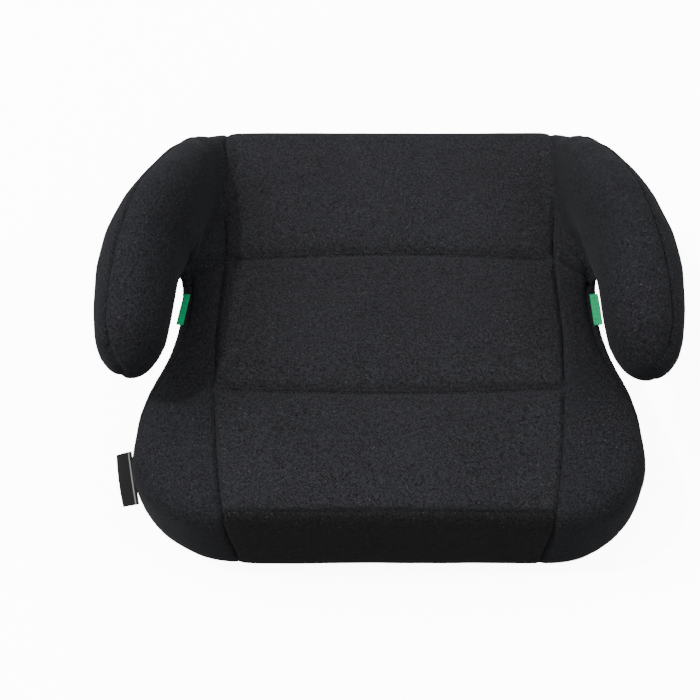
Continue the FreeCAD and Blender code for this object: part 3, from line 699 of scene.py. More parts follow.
@dataclass
class SewnCover:
    """The cover: its panels, bands and hem, cut from the padded skin along its seams, and the foam."""

    form: DressedForm = field(default_factory=DressedForm)
    foam_depth: float = 8.4
    foam_thick: float = 1.6
    hem_high: float = 8.0
    hem_turned: float = 12.0
    stitch: tuple[float, float, float] = (2.3, 0.7, 0.6)
    stitch_pitch: float = 3.3
    sliver: float = 0.12

    def labels(self, p: np.ndarray) -> tuple[np.ndarray, list[str]]:
        """Which panel each face belongs to.

        Args:
            p: the middles of the faces, in millimetres.

        Returns:
            A number for each face, and the panels' nodes in the order of the numbers. The number past
            the last is the skin that is cut away under the seat.
        """
        s = self.form.seams
        x, y, z = p.T
        side = np.abs(x)
        outside = side > s.centre(y, z)
        upper = z > 54.0
        arm = outside & (side > s.arm(y)) & ((z > s.arm_under) | (z > s.arm_foot) & (y > s.slot_end))
        band = outside & ~arm & (y < s.slot_end) & (z < s.band(y))
        names = [
            "front_apron", "back_apron", "front_seat_panel", "middle_seat_panel", "rear_seat_panel",
            "left_side_panel", "right_side_panel", "left_side_band", "right_side_band",
            "left_arm_band", "right_arm_band", "underside_hem",
        ]
        label = np.where(y < 0, 0, 1)
        top = upper & (y > s.nose(x)) & (y < s.back(x))
        label[top] = 2
        label[top & (y > s.front_channel(x))] = 3
        label[top & (y > s.rear_channel(x))] = 4
        for zone, first in ((outside, 5), (band, 7), (arm, 9)):
            label[zone] = np.where(x[zone] < 0, first, first + 1)
        label[z < self.hem_high] = 11
        low = np.nonzero(z < 40.0)[0]
        reach = self.form.plan.depth_inside(x[low], y[low])
        label[low[reach > self.form.hem_reach + 6.0]] = len(names)
        inner = (reach > self.form.hem_reach - 12.0) & (reach <= self.form.hem_reach + 6.0)
        turned = (z[low] < self.hem_turned) | (reach < self.form.hem_reach - 3.0)
        label[low[inner]] = np.where(turned[inner], 11, len(names))
        return label, names

    def cut_seams(self, skin: bpy.types.Object) -> None:
        """Cut the skin along every seam, so that panels meet on clean lines."""
        s = self.form.seams
        cutter = Cutter(skin)
        for side in Side:
            k = side.value
            cutter.cut(0, lambda p: k * s.centre(p[:, 1], p[:, 2]), lambda p: k * p[:, 0] > 100)
            cutter.cut(0, lambda p: k * s.arm(p[:, 1]),
                       lambda p: (k * p[:, 0] > 115) & (p[:, 2] > 80) & (p[:, 1] > -100))
            cutter.cut(2, lambda p: s.band(p[:, 1]),
                       lambda p: (k * p[:, 0] > 125) & (p[:, 1] < 45) & (p[:, 2] < 118))
            cutter.cut(2, lambda p: 0 * p[:, 0] + s.arm_foot,
                       lambda p: (k * p[:, 0] > 125) & (p[:, 1] > 25) & (p[:, 2] < 110))
            cutter.cut(1, lambda p: 0 * p[:, 0] + s.slot_end,
                       lambda p: (k * p[:, 0] > 125) & (p[:, 2] < 115))
        for line in (s.rear_channel, s.front_channel, s.nose, s.back):
            cutter.cut(1, lambda p: line(p[:, 0]), lambda p: (np.abs(p[:, 0]) < 140) & (p[:, 2] > 45))
        cutter.cut(2, lambda p: 0 * p[:, 0] + self.hem_high, lambda p: p[:, 2] < 30)
        cutter.cut(2, lambda p: 0 * p[:, 0] + self.hem_turned,
                   lambda p: (p[:, 2] < 30) & (self.form.plan.depth_inside(p[:, 0], p[:, 1]) > 28))
        bm = MeshTools.read(skin)
        bmesh.ops.dissolve_degenerate(bm, dist=self.sliver * MM, edges=bm.edges[:])
        MeshTools.write(bm, skin)

    @staticmethod
    def separate(skin: bpy.types.Object, label: np.ndarray, names: list[str]) -> dict[str, bpy.types.Object]:
        """Part the skin into its panels, one object each.

        Args:
            skin: the cut and creased skin.
            label: the number of each face's panel.
            names: the panels' nodes, in the order of the numbers.

        Returns:
            Each panel by its node.
        """
        skin.data.materials.clear()
        for name in [*names, "cut_away"]:
            skin.data.materials.append(bpy.data.materials.new("chalk_" + name))
        skin.data.polygons.foreach_set("material_index", label)
        bpy.ops.object.select_all(action="DESELECT")
        skin.select_set(True)
        bpy.context.view_layer.objects.active = skin
        bpy.ops.mesh.separate(type="MATERIAL")
        found = {}
        for obj in list(bpy.context.selected_objects):
            name = obj.data.materials[0].name.removeprefix("chalk_")
            if name == "cut_away":
                MeshTools.drop(obj)
                continue
            obj.name = obj.data.name = name + "_sewn"
            found[name] = obj
        for name in [*names, "cut_away"]:
            bpy.data.materials.remove(bpy.data.materials["chalk_" + name])
        return found

    def stitches(self, skin: bpy.types.Object, name: str, line: Line, finish: bpy.types.Material) -> None:
        """Lay two rows of stitches in a quilted channel, dropped onto the cover.

        Args:
            skin: the creased skin.
            name: the piece's name.
            line: the channel's place from front to back, from x.
            finish: the thread's material.
        """
        bm = MeshTools.read(skin)
        tree = BVHTree.FromBMesh(bm)
        bm.free()
        thread = bmesh.new()
        long, wide, high = self.stitch
        size = Matrix.Diagonal((long / 2 * MM, wide / 2 * MM, high / 2 * MM, 1))
        for row, start in ((-0.9, 0.0), (0.9, 0.5)):
            for x in np.arange(-121 + start * self.stitch_pitch, 122, self.stitch_pitch):
                y = float(line(np.array([x]))[0]) + row
                slope = float(line(np.array([x + 1]))[0] - line(np.array([x - 1]))[0]) / 2
                hit, normal, _, _ = tree.ray_cast(Vector((x, y, 160)) * MM, Vector((0, 0, -1)))
                if hit is None:
                    continue
                lean = 0.35 * math.copysign(1, row) * (-1) ** int(x / self.stitch_pitch)
                way = Vector((1, slope + lean, 0))
                across = normal.cross(way).normalized()
                along = across.cross(normal).normalized()
                turn = Matrix((along, across, normal)).transposed().to_4x4()
                place = Matrix.Translation(hit + normal * 0.1 * MM) @ turn @ size
                bmesh.ops.create_uvsphere(thread, u_segments=8, v_segments=5, radius=1.0, matrix=place)
        obj = MeshTools.new_object(name, thread)
        MeshTools.shade_smooth(obj)
        MeshTools.finish(obj, "seat", Slot.SEAT, finish)

    def foam(self, coarse: bpy.types.Object, finish: bpy.types.Material) -> None:
        """Lay the foam under the cover: the unseamed skin, moved inwards, parted in three, thickened."""
        s = self.form.seams
        for name, sign in (("left_side_foam", -1), ("seat_foam", 0), ("right_side_foam", 1)):
            bm = MeshTools.read(coarse)
            p = np.array([f.calc_center_median() for f in bm.faces]) / MM
            off = s.centre(p[:, 1], p[:, 2])
            inside = np.abs(p[:, 0]) < off - 2 if sign == 0 else sign * p[:, 0] > off + 2
            keep = inside & (p[:, 2] > 22)
            bmesh.ops.delete(bm, geom=[f for f, k in zip(bm.faces, keep) if not k], context="FACES")
            bm.normal_update()
            for v in bm.verts:
                v.co -= v.normal * self.foam_depth * MM
            bmesh.ops.solidify(bm, geom=bm.faces[:], thickness=self.foam_thick * MM)
            obj = MeshTools.new_object(name + "_pad", bm)
            MeshTools.shade_smooth(obj)
            MeshTools.finish(obj, "seat", Slot.FOAM, finish, [name])

    def build(self, finishes: dict[Slot, bpy.types.Material]) -> None:
        """Make the skin, crease it, part it into panels and dress them.

        Args:
            finishes: the material of each slot.
        """
        coarse = self.form.padded_hull()
        self.foam(coarse, finishes[Slot.FOAM])
        skin = self.form.refine(coarse)
        self.cut_seams(skin)
        label, names = self.labels(MeshTools.centres(skin.data))
        Needlework(self.form).work(skin)
        LOG.info("skin: %d faces", len(skin.data.polygons))
        self.stitches(skin, "rear_channel_stitches", self.form.seams.rear_channel, finishes[Slot.THREAD])
        self.stitches(skin, "front_channel_stitches", self.form.seams.front_channel, finishes[Slot.THREAD])
        slots = {"underside_hem": Slot.HEM, "front_apron": Slot.SEAT, "back_apron": Slot.SEAT}
        for node, panel in self.separate(skin, label, names).items():
            turn_in_edges(panel)
            MeshTools.shade_smooth(panel)
            slot = slots.get(node, Slot.SEAT if "seat_panel" in node else Slot.SIDE)
            # The aprons take the wall cloth, a darker copy of the seat cloth: painted shade on the front and
            # back walls, not a different cloth.
            finish = finishes[Slot.WALL] if node.endswith("apron") else finishes[slot]
            MeshTools.finish(panel, "seat", slot, finish, [node])
            if node == "underside_hem":
                self.declare_hem(panel)

    @staticmethod
    def declare_hem(hem: bpy.types.Object) -> None:
        """Does nothing: the hem, one long strip gathered onto its elastic, is left as it was cut from the
        skin.
        """


def laid_strip(name: str, middle: np.ndarray, across: np.ndarray, wide: float, thick: float,
               steps: int = 4) -> bpy.types.Object:
    """A flat woven strip laid along a line.

    Args:
        name: the piece's name.
        middle: points down the strip's middle, in millimetres; the first and last may be the same.
        across: the direction across the strip at each point.
        wide: the strip's width, in millimetres.
        thick: its thickness, in millimetres.
        steps: faces across the strip.

    Returns:
        The strip, with a UV map that runs along it and across it.
    """
    bm = bmesh.new()
    bm.loops.layers.uv.new("weave")
    bmesh.ops.create_grid(bm, x_segments=len(middle) - 1, y_segments=steps, size=1.0, calc_uvs=True)
    for v in bm.verts:
        at = round((v.co.x + 1) / 2 * (len(middle) - 1))
        v.co = Vector((middle[at] + across[at] * v.co.y * wide / 2) * MM)
    bmesh.ops.remove_doubles(bm, verts=bm.verts[:], dist=0.01 * MM)
    bmesh.ops.recalc_face_normals(bm, faces=bm.faces[:])
    obj = MeshTools.new_object(name, bm)
    wall = obj.modifiers.new("cloth_thickness", "SOLIDIFY")
    wall.thickness = thick * MM
    wall.offset = 0
    edge = obj.modifiers.new("soft_edges", "BEVEL")
    edge.width = thick * 0.3 * MM
    edge.segments = 2
    MeshTools.apply(obj)
    MeshTools.shade_smooth(obj)
    return obj


@dataclass
class FoldedTab:
    """A ribbon or tag: a strip folded in half, with both ends sewn into a seam.

    The strip lies along its hinge, and bows and droops a little, as cloth does.
    """

    node: str
    body: str
    slot: Slot
    hinge: tuple[float, float, float]
    turn: float
    long: float
    reach: float
    thick: float
    side: Side
    gap: float = 0.4
    fold: float = 0.3
    droop: float = 0.0
    twist: float = 0.0
    bow: float = 0.0

    def path(self) -> np.ndarray:
        """The folded strip seen from its end: out to the fold and back, as x and z, in millimetres."""
        tip = self.reach - self.fold
        out = [(x, self.fold) for x in np.linspace(self.gap, tip, 9)]
        turns = np.linspace(0, math.pi, 7)[1:-1]
        bend = [(tip + self.fold * math.sin(a), self.fold * math.cos(a)) for a in turns]
        home = [(x, -self.fold) for x in np.linspace(tip, self.gap, 9)]
        return np.array(out + bend + home)

    def build(self, finish: bpy.types.Material) -> bpy.types.Object:
        """Make the tab.

        Args:
            finish: its material.

        Returns:
            The piece.
        """
        path = self.path()
        middle = np.stack([path[:, 0], 0 * path[:, 0], path[:, 1]], -1)
        across = np.tile([0.0, 1.0, 0.0], (len(path), 1))
        thick = self.thick / 2 - 0.12
        obj = laid_strip(self.node + "_cloth", middle, across, self.long, thick, steps=16)
        p = MeshTools.coords(obj.data)
        far = np.clip(p[:, 0] / self.reach, 0, 1.1)
        along = p[:, 1] / (self.long / 2)
        angle = np.radians(self.droop + self.twist * along) * far
        p[:, 0] += self.bow * far * (1 - along ** 2)
        radius, height = p[:, 0].copy(), p[:, 2].copy()
        p[:, 0] = radius * np.cos(angle) + height * np.sin(angle)
        p[:, 2] = height * np.cos(angle) - radius * np.sin(angle)
        p[:, 0] *= self.side.value
        turn = math.radians(self.turn) * self.side.value
        x, y = p[:, 0].copy(), p[:, 1].copy()
        p[:, 0] = x * math.cos(turn) - y * math.sin(turn) + self.hinge[0]
        p[:, 1] = x * math.sin(turn) + y * math.cos(turn) + self.hinge[1]
        p[:, 2] += self.hinge[2]
        MeshTools.put_coords(obj.data, p)
        bm = MeshTools.read(obj)
        bmesh.ops.recalc_face_normals(bm, faces=bm.faces[:])
        MeshTools.write(bm, obj)
        MeshTools.shade_smooth(obj)
        MeshTools.finish(obj, self.body, self.slot, finish, [self.node])
        return obj


@dataclass
class HookStrap:
    """An elastic strap: looped round its hook's bar and sewn to itself and to the hem."""

    name: str
    x: float
    y: float
    heading: float
    wide: float = 12.0
    thick: float = 1.0
    reach: float = 24.6
    loop: tuple[tuple[float, float], ...] = (
        (19.0, 3.9), (16.2, 2.4), (13.0, 2.2), (10.4, 2.4), (10.0, 4.2), (10.4, 6.0), (13.0, 6.2),
        (16.2, 6.0), (19.2, 4.75),
    )

    def build(self, finish: bpy.types.Material) -> None:
        """Make the strap.

        Args:
            finish: its material.
        """
        corner = np.array([(self.reach, 4.3), *self.loop, (self.reach, 4.75)])
        at = np.linspace(0, len(corner) - 1, 41)
        x = np.interp(at, range(len(corner)), corner[:, 0])
        z = np.interp(at, range(len(corner)), corner[:, 1])
        turn = math.radians(self.heading)
        way = np.array([math.cos(turn), math.sin(turn), 0.0])
        middle = np.array([self.x, self.y, 0.0]) + x[:, None] * way + z[:, None] * np.array([0.0, 0.0, 1.0])
        across = np.tile([-way[1], way[0], 0.0], (len(middle), 1))
        obj = laid_strip(f"{self.name}_web", middle, across, self.wide, self.thick * 0.7)
        MeshTools.finish(obj, "seat", Slot.ELASTIC, finish, [self.name])


@dataclass
class HemElastic:
    """The elastic in the hem's inner edge, slightly ruffled."""

    plan: SeatPlan = field(default_factory=SeatPlan)
    inset: float = 34.0
    wide: float = 3.6
    thick: float = 1.8
    height: float = 4.6

    def build(self, finish: bpy.types.Material) -> None:
        """Make the closed ring.

        Args:
            finish: its material.
        """
        ring = self.plan.points(self.inset, steps=40)
        keep = np.hypot(*(ring - np.roll(ring, 1, axis=0)).T) > 0.2
        ring = ring[keep]
        step = np.hypot(*(np.roll(ring, -1, axis=0) - ring).T)
        at = np.concatenate([[0], np.cumsum(step)])
        closed = np.vstack([ring, ring[:1]])
        even = np.linspace(0, at[-1], 361)
        x, y = np.interp(even, at, closed[:, 0]), np.interp(even, at, closed[:, 1])
        way = np.gradient(np.stack([x, y], -1), axis=0)
        way[0] = way[-1] = way[0] + way[-1]
        way /= np.hypot(*way.T)[:, None]
        wave = np.sin(2 * math.pi * 90 * even / at[-1])
        sway = 0.3 * wave
        rise = self.height + 0.35 * wave
        middle = np.stack([x - sway * way[:, 1], y + sway * way[:, 0], rise], -1)
        middle[-1] = middle[0]
        across = np.stack([-way[:, 1], way[:, 0], 0 * x], -1)
        obj = laid_strip("hem_elastic_web", middle, across, self.wide, self.thick)
        MeshTools.finish(obj, "seat", Slot.ELASTIC, finish, ["hem_elastic"])


def lay_out(*rows: tuple[bpy.types.Node | None, list[bpy.types.Node]]) -> None:
    """Set nodes out in rows for the node editor, one row to an effect.

    Args:
        rows: each row's frame, or None, and its nodes from left to right.
    """
    for row, (frame, members) in enumerate(rows):
        for column, node in enumerate(members):
            node.parent = frame
            node.location = (260 * column, -420 * row)


@dataclass(frozen=True)
class ClothFinish:
    """A dark pebbled cloth: yarn colours as linear values, weave size and relief."""

    name: str
    dark: tuple[float, float, float] = (0.0009, 0.0009, 0.001)
    light: tuple[float, float, float] = (0.0112, 0.0113, 0.0129)
    fleck: tuple[float, float, float] = (0.024, 0.0245, 0.026)
    pitch: float = 1.25
    relief: float = 0.6

    def material(self) -> bpy.types.Material:
        """The cloth's material: diagonal weave, pebbled yarns, pale flecks and a slow unevenness."""
        made = bpy.data.materials.new(self.name)
        made.use_nodes = True
        tree = made.node_tree
        nodes, links = tree.nodes, tree.links
        nodes.clear()

        weave_frame = nodes.new("NodeFrame")
        weave_frame.label = "Diagonal weave"
        fleck_frame = nodes.new("NodeFrame")
        fleck_frame.label = "Mixed yarns"
        relief_frame = nodes.new("NodeFrame")
        relief_frame.label = "Relief of the cloth"

        place = nodes.new("ShaderNodeTexCoord")
        place.label = "Place on the seat"

        twill = nodes.new("ShaderNodeTexWave")
        twill.label = "Twill lines"

        pebble = nodes.new("ShaderNodeTexVoronoi")
        pebble.label = "Pebbles of yarn"

        weave = nodes.new("ShaderNodeMath")
        weave.label = "Twill over pebbles"

        heather = nodes.new("ShaderNodeTexNoise")
        heather.label = "Heathered yarn"

        pick = nodes.new("ShaderNodeTexNoise")
        pick.label = "Where a pale yarn shows"

        pick_ramp = nodes.new("ShaderNodeValToRGB")
        pick_ramp.label = "Few pale flecks"

        wear = nodes.new("ShaderNodeTexNoise")
        wear.label = "Slow unevenness of tone"

        spread = nodes.new("ShaderNodeMapRange")
        spread.label = "Spread of the heather"

        tone = nodes.new("ShaderNodeMath")
        tone.label = "Yarn tone"

        tone_wear = nodes.new("ShaderNodeMath")
        tone_wear.label = "Tone with unevenness"

        yarn = nodes.new("ShaderNodeValToRGB")
        yarn.label = "Dark to light yarn"

        colour = nodes.new("ShaderNodeMix")
        colour.label = "Flecks on the cloth"

        fuzz = nodes.new("ShaderNodeTexNoise")
        fuzz.label = "Loose fibres"

        height = nodes.new("ShaderNodeMath")
        height.label = "Weave and fibres"

        bump = nodes.new("ShaderNodeBump")
        bump.label = "Raised weave"

        cloth = nodes.new("ShaderNodeBsdfPrincipled")
        cloth.label = "Cloth"

        out = nodes.new("ShaderNodeOutputMaterial")
        out.label = "Surface"

        lay_out(
            (weave_frame, [twill, pebble, weave]),
            (fleck_frame, [heather, pick, pick_ramp, wear, spread, tone, tone_wear, yarn, colour]),
            (relief_frame, [fuzz, height, bump]),
            (None, [place, cloth, out]),
        )

        twill.wave_type = "BANDS"
        twill.bands_direction = "DIAGONAL"
        twill.wave_profile = "SIN"
        twill.inputs["Scale"].default_value = 0.314 / (self.pitch * MM)
        twill.inputs["Distortion"].default_value = 2.2
        twill.inputs["Detail"].default_value = 1.0
        twill.inputs["Detail Scale"].default_value = 1.6
        pebble.feature = "SMOOTH_F1"
        pebble.inputs["Scale"].default_value = 1 / (self.pitch * 0.8 * MM)
        pebble.inputs["Smoothness"].default_value = 0.4
        weave.operation = "MULTIPLY_ADD"
        weave.inputs[1].default_value = 0.3
        heather.inputs["Scale"].default_value = 1 / (1.9 * MM)
        heather.inputs["Detail"].default_value = 3.0
        heather.inputs["Roughness"].default_value = 0.7
        pick.inputs["Scale"].default_value = 1 / (1.5 * MM)
        pick.inputs["Detail"].default_value = 2.0
        pick_ramp.color_ramp.elements[0].position = 0.66
        pick_ramp.color_ramp.elements[0].color = (0, 0, 0, 1)
        pick_ramp.color_ramp.elements[1].position = 0.76
        pick_ramp.color_ramp.elements[1].color = (1, 1, 1, 1)
        wear.inputs["Scale"].default_value = 14.0
        wear.inputs["Detail"].default_value = 3.0
        spread.inputs["From Min"].default_value = 0.3
        spread.inputs["From Max"].default_value = 0.7
        spread.inputs["To Min"].default_value = 0.0
        spread.inputs["To Max"].default_value = 0.5
        tone.operation = "MULTIPLY_ADD"
        tone.inputs[1].default_value = 0.55
        tone_wear.operation = "MULTIPLY_ADD"
        tone_wear.inputs[1].default_value = 0.12
        yarn.color_ramp.elements[0].position = 0.32
        yarn.color_ramp.elements[0].color = (*self.dark, 1)
        yarn.color_ramp.elements[1].position = 0.92
        yarn.color_ramp.elements[1].color = (*self.light, 1)
        colour.data_type = "RGBA"
        colour.inputs["B"].default_value = (*self.fleck, 1)
        fuzz.inputs["Scale"].default_value = 1 / (0.7 * MM)
        fuzz.inputs["Detail"].default_value = 2.0
        height.operation = "MULTIPLY_ADD"
        height.inputs[1].default_value = 0.5
        bump.inputs["Strength"].default_value = self.relief
        bump.inputs["Distance"].default_value = 0.5 * MM
        cloth.inputs["Roughness"].default_value = 0.92
        cloth.inputs["Specular IOR Level"].default_value = 0.03
        cloth.inputs["Sheen Weight"].default_value = 0.02
        cloth.inputs["Sheen Roughness"].default_value = 0.5
        cloth.inputs["Sheen Tint"].default_value = (0.55, 0.57, 0.62, 1)

        for texture in (twill, pebble, heather, pick, wear, fuzz):
            links.new(place.outputs["Object"], texture.inputs["Vector"])
        links.new(twill.outputs["Fac"], weave.inputs[0])
        links.new(pebble.outputs["Distance"], weave.inputs[2])
        links.new(weave.outputs["Value"], tone.inputs[0])
        links.new(heather.outputs["Fac"], spread.inputs["Value"])
        links.new(spread.outputs["Result"], tone.inputs[2])
        links.new(wear.outputs["Fac"], tone_wear.inputs[0])
        links.new(tone.outputs["Value"], tone_wear.inputs[2])
        links.new(tone_wear.outputs["Value"], yarn.inputs["Fac"])
        links.new(yarn.outputs["Color"], colour.inputs["A"])
        links.new(pick.outputs["Fac"], pick_ramp.inputs["Fac"])
        links.new(pick_ramp.outputs["Color"], colour.inputs["Factor"])
        links.new(colour.outputs["Result"], cloth.inputs["Base Color"])
        links.new(fuzz.outputs["Fac"], height.inputs[0])
        links.new(weave.outputs["Value"], height.inputs[2])
        links.new(height.outputs["Value"], bump.inputs["Height"])
        links.new(bump.outputs["Normal"], cloth.inputs["Normal"])
        links.new(cloth.outputs["BSDF"], out.inputs["Surface"])
        return made


@dataclass(frozen=True)
class MouldedFinish:
    """A moulded plastic or film: colour, roughness and grain."""

    name: str
    colour: tuple[float, float, float]
    roughness: float = 0.5
    grain: float = 0.9
    relief: float = 0.15
    low: float = 0.85
    high: float = 1.15

    def material(self) -> bpy.types.Material:
        """The plastic's material: fine moulded grain, slightly uneven gloss and tone."""
        made = bpy.data.materials.new(self.name)
        made.use_nodes = True
        tree = made.node_tree
        nodes, links = tree.nodes, tree.links
        nodes.clear()

        grain_frame = nodes.new("NodeFrame")
        grain_frame.label = "Moulded grain"
        tone_frame = nodes.new("NodeFrame")
        tone_frame.label = "Tone and gloss"

        place = nodes.new("ShaderNodeTexCoord")
        place.label = "Place on the seat"

        grain = nodes.new("ShaderNodeTexNoise")
        grain.label = "Grain"

        bump = nodes.new("ShaderNodeBump")
        bump.label = "Raised grain"

        cloud = nodes.new("ShaderNodeTexNoise")
        cloud.label = "Uneven tone"

        tone = nodes.new("ShaderNodeValToRGB")
        tone.label = "Plastic colour"

        gloss = nodes.new("ShaderNodeMapRange")
        gloss.label = "Uneven gloss"

        plastic = nodes.new("ShaderNodeBsdfPrincipled")
        plastic.label = "Plastic"

        out = nodes.new("ShaderNodeOutputMaterial")
        out.label = "Surface"

        lay_out(
            (grain_frame, [grain, bump]),
            (tone_frame, [cloud, tone, gloss]),
            (None, [place, plastic, out]),
        )

        grain.inputs["Scale"].default_value = 1 / (self.grain * MM)
        grain.inputs["Detail"].default_value = 4.0
        bump.inputs["Strength"].default_value = self.relief
        bump.inputs["Distance"].default_value = 0.3 * MM
        cloud.inputs["Scale"].default_value = 22.0
        cloud.inputs["Detail"].default_value = 4.0
        r, g, b = self.colour
        tone.color_ramp.elements[0].position = 0.3
        tone.color_ramp.elements[0].color = (r * self.low, g * self.low, b * self.low, 1)
        tone.color_ramp.elements[1].position = 0.7
        tone.color_ramp.elements[1].color = (r * self.high, g * self.high, b * self.high, 1)
        gloss.inputs["To Min"].default_value = self.roughness - 0.06
        gloss.inputs["To Max"].default_value = self.roughness + 0.08

        for texture in (grain, cloud):
            links.new(place.outputs["Object"], texture.inputs["Vector"])
        links.new(grain.outputs["Fac"], bump.inputs["Height"])
        links.new(bump.outputs["Normal"], plastic.inputs["Normal"])
        links.new(cloud.outputs["Fac"], tone.inputs["Fac"])
        links.new(tone.outputs["Color"], plastic.inputs["Base Color"])
        links.new(cloud.outputs["Fac"], gloss.inputs["Value"])
        links.new(gloss.outputs["Result"], plastic.inputs["Roughness"])
        links.new(plastic.outputs["BSDF"], out.inputs["Surface"])
        return made


@dataclass(frozen=True)
class WovenFinish:
    """A flat woven strip: ribs across it, and optionally a line of paler yarn near each edge."""

    name: str
    dark: tuple[float, float, float]
    light: tuple[float, float, float]
    rib: float = 0.9
    line: tuple[float, float, float] | None = None
    relief: float = 0.5

    def material(self) -> bpy.types.Material:
        """The strip's material, from its place and its UV map."""
        made = bpy.data.materials.new(self.name)
        made.use_nodes = True
        tree = made.node_tree
        nodes, links = tree.nodes, tree.links
        nodes.clear()

        rib_frame = nodes.new("NodeFrame")
        rib_frame.label = "Ribs of the weave"
        border_frame = nodes.new("NodeFrame")
        border_frame.label = "Woven border"

        place = nodes.new("ShaderNodeTexCoord")
        place.label = "Place on the seat"

        uv = nodes.new("ShaderNodeUVMap")
        uv.label = "Along and across the strip"

        rib = nodes.new("ShaderNodeTexWave")
        rib.label = "Ribs"

        yarn = nodes.new("ShaderNodeTexNoise")
        yarn.label = "Uneven yarn"

        mixed = nodes.new("ShaderNodeMath")
        mixed.label = "Ribs with uneven yarn"

        tone = nodes.new("ShaderNodeValToRGB")
        tone.label = "Yarn colour"

        split = nodes.new("ShaderNodeSeparateXYZ")
        split.label = "Along the strip"

        border = nodes.new("ShaderNodeValToRGB")
        border.label = "Where the pale lines run"

        colour = nodes.new("ShaderNodeMix")
        colour.label = "Pale lines on the strip"

        bump = nodes.new("ShaderNodeBump")
        bump.label = "Raised ribs"

        cloth = nodes.new("ShaderNodeBsdfPrincipled")
        cloth.label = "Woven cloth"

        out = nodes.new("ShaderNodeOutputMaterial")
        out.label = "Surface"

        lay_out(
            (rib_frame, [rib, yarn, mixed, tone]),
            (border_frame, [split, border, colour]),
            (None, [place, uv, bump, cloth, out]),
        )

        rib.wave_type = "BANDS"
        rib.bands_direction = "Y"
        rib.inputs["Scale"].default_value = 0.314 / (self.rib * MM)
        rib.inputs["Distortion"].default_value = 0.6
        yarn.inputs["Scale"].default_value = 1 / (0.8 * MM)
        yarn.inputs["Detail"].default_value = 2.0
        mixed.operation = "MULTIPLY_ADD"
        mixed.inputs[1].default_value = 0.5
        tone.color_ramp.elements[0].position = 0.3
        tone.color_ramp.elements[0].color = (*self.dark, 1)
        tone.color_ramp.elements[1].position = 0.95
        tone.color_ramp.elements[1].color = (*self.light, 1)
        ramp = border.color_ramp
        ramp.interpolation = "LINEAR"
        ramp.elements[0].position = 0.0
        ramp.elements[0].color = (0, 0, 0, 1)
        ramp.elements[1].position = 1.0
        ramp.elements[1].color = (0, 0, 0, 1)
        shows = 1.0 if self.line else 0.0
        for at, value in ((0.06, 0.0), (0.068, shows), (0.088, shows), (0.096, 0.0),
                          (0.41, 0.0), (0.418, shows), (0.438, shows), (0.446, 0.0)):
            stop = ramp.elements.new(at)
            stop.color = (value, value, value, 1)
        colour.data_type = "RGBA"
        colour.inputs["B"].default_value = (*(self.line or self.light), 1)
        bump.inputs["Strength"].default_value = self.relief
        bump.inputs["Distance"].default_value = 0.25 * MM
        cloth.inputs["Roughness"].default_value = 0.75
        cloth.inputs["Specular IOR Level"].default_value = 0.08

        for texture in (rib, yarn):
            links.new(place.outputs["Object"], texture.inputs["Vector"])
        links.new(rib.outputs["Fac"], mixed.inputs[0])
        links.new(yarn.outputs["Fac"], mixed.inputs[2])
        links.new(mixed.outputs["Value"], tone.inputs["Fac"])
        links.new(tone.outputs["Color"], colour.inputs["A"])
        links.new(uv.outputs["UV"], split.inputs["Vector"])
        links.new(split.outputs["X"], border.inputs["Fac"])
        links.new(border.outputs["Color"], colour.inputs["Factor"])
        links.new(colour.outputs["Result"], cloth.inputs["Base Color"])
        links.new(rib.outputs["Fac"], bump.inputs["Height"])
        links.new(bump.outputs["Normal"], cloth.inputs["Normal"])
        links.new(cloth.outputs["BSDF"], out.inputs["Surface"])
        return made


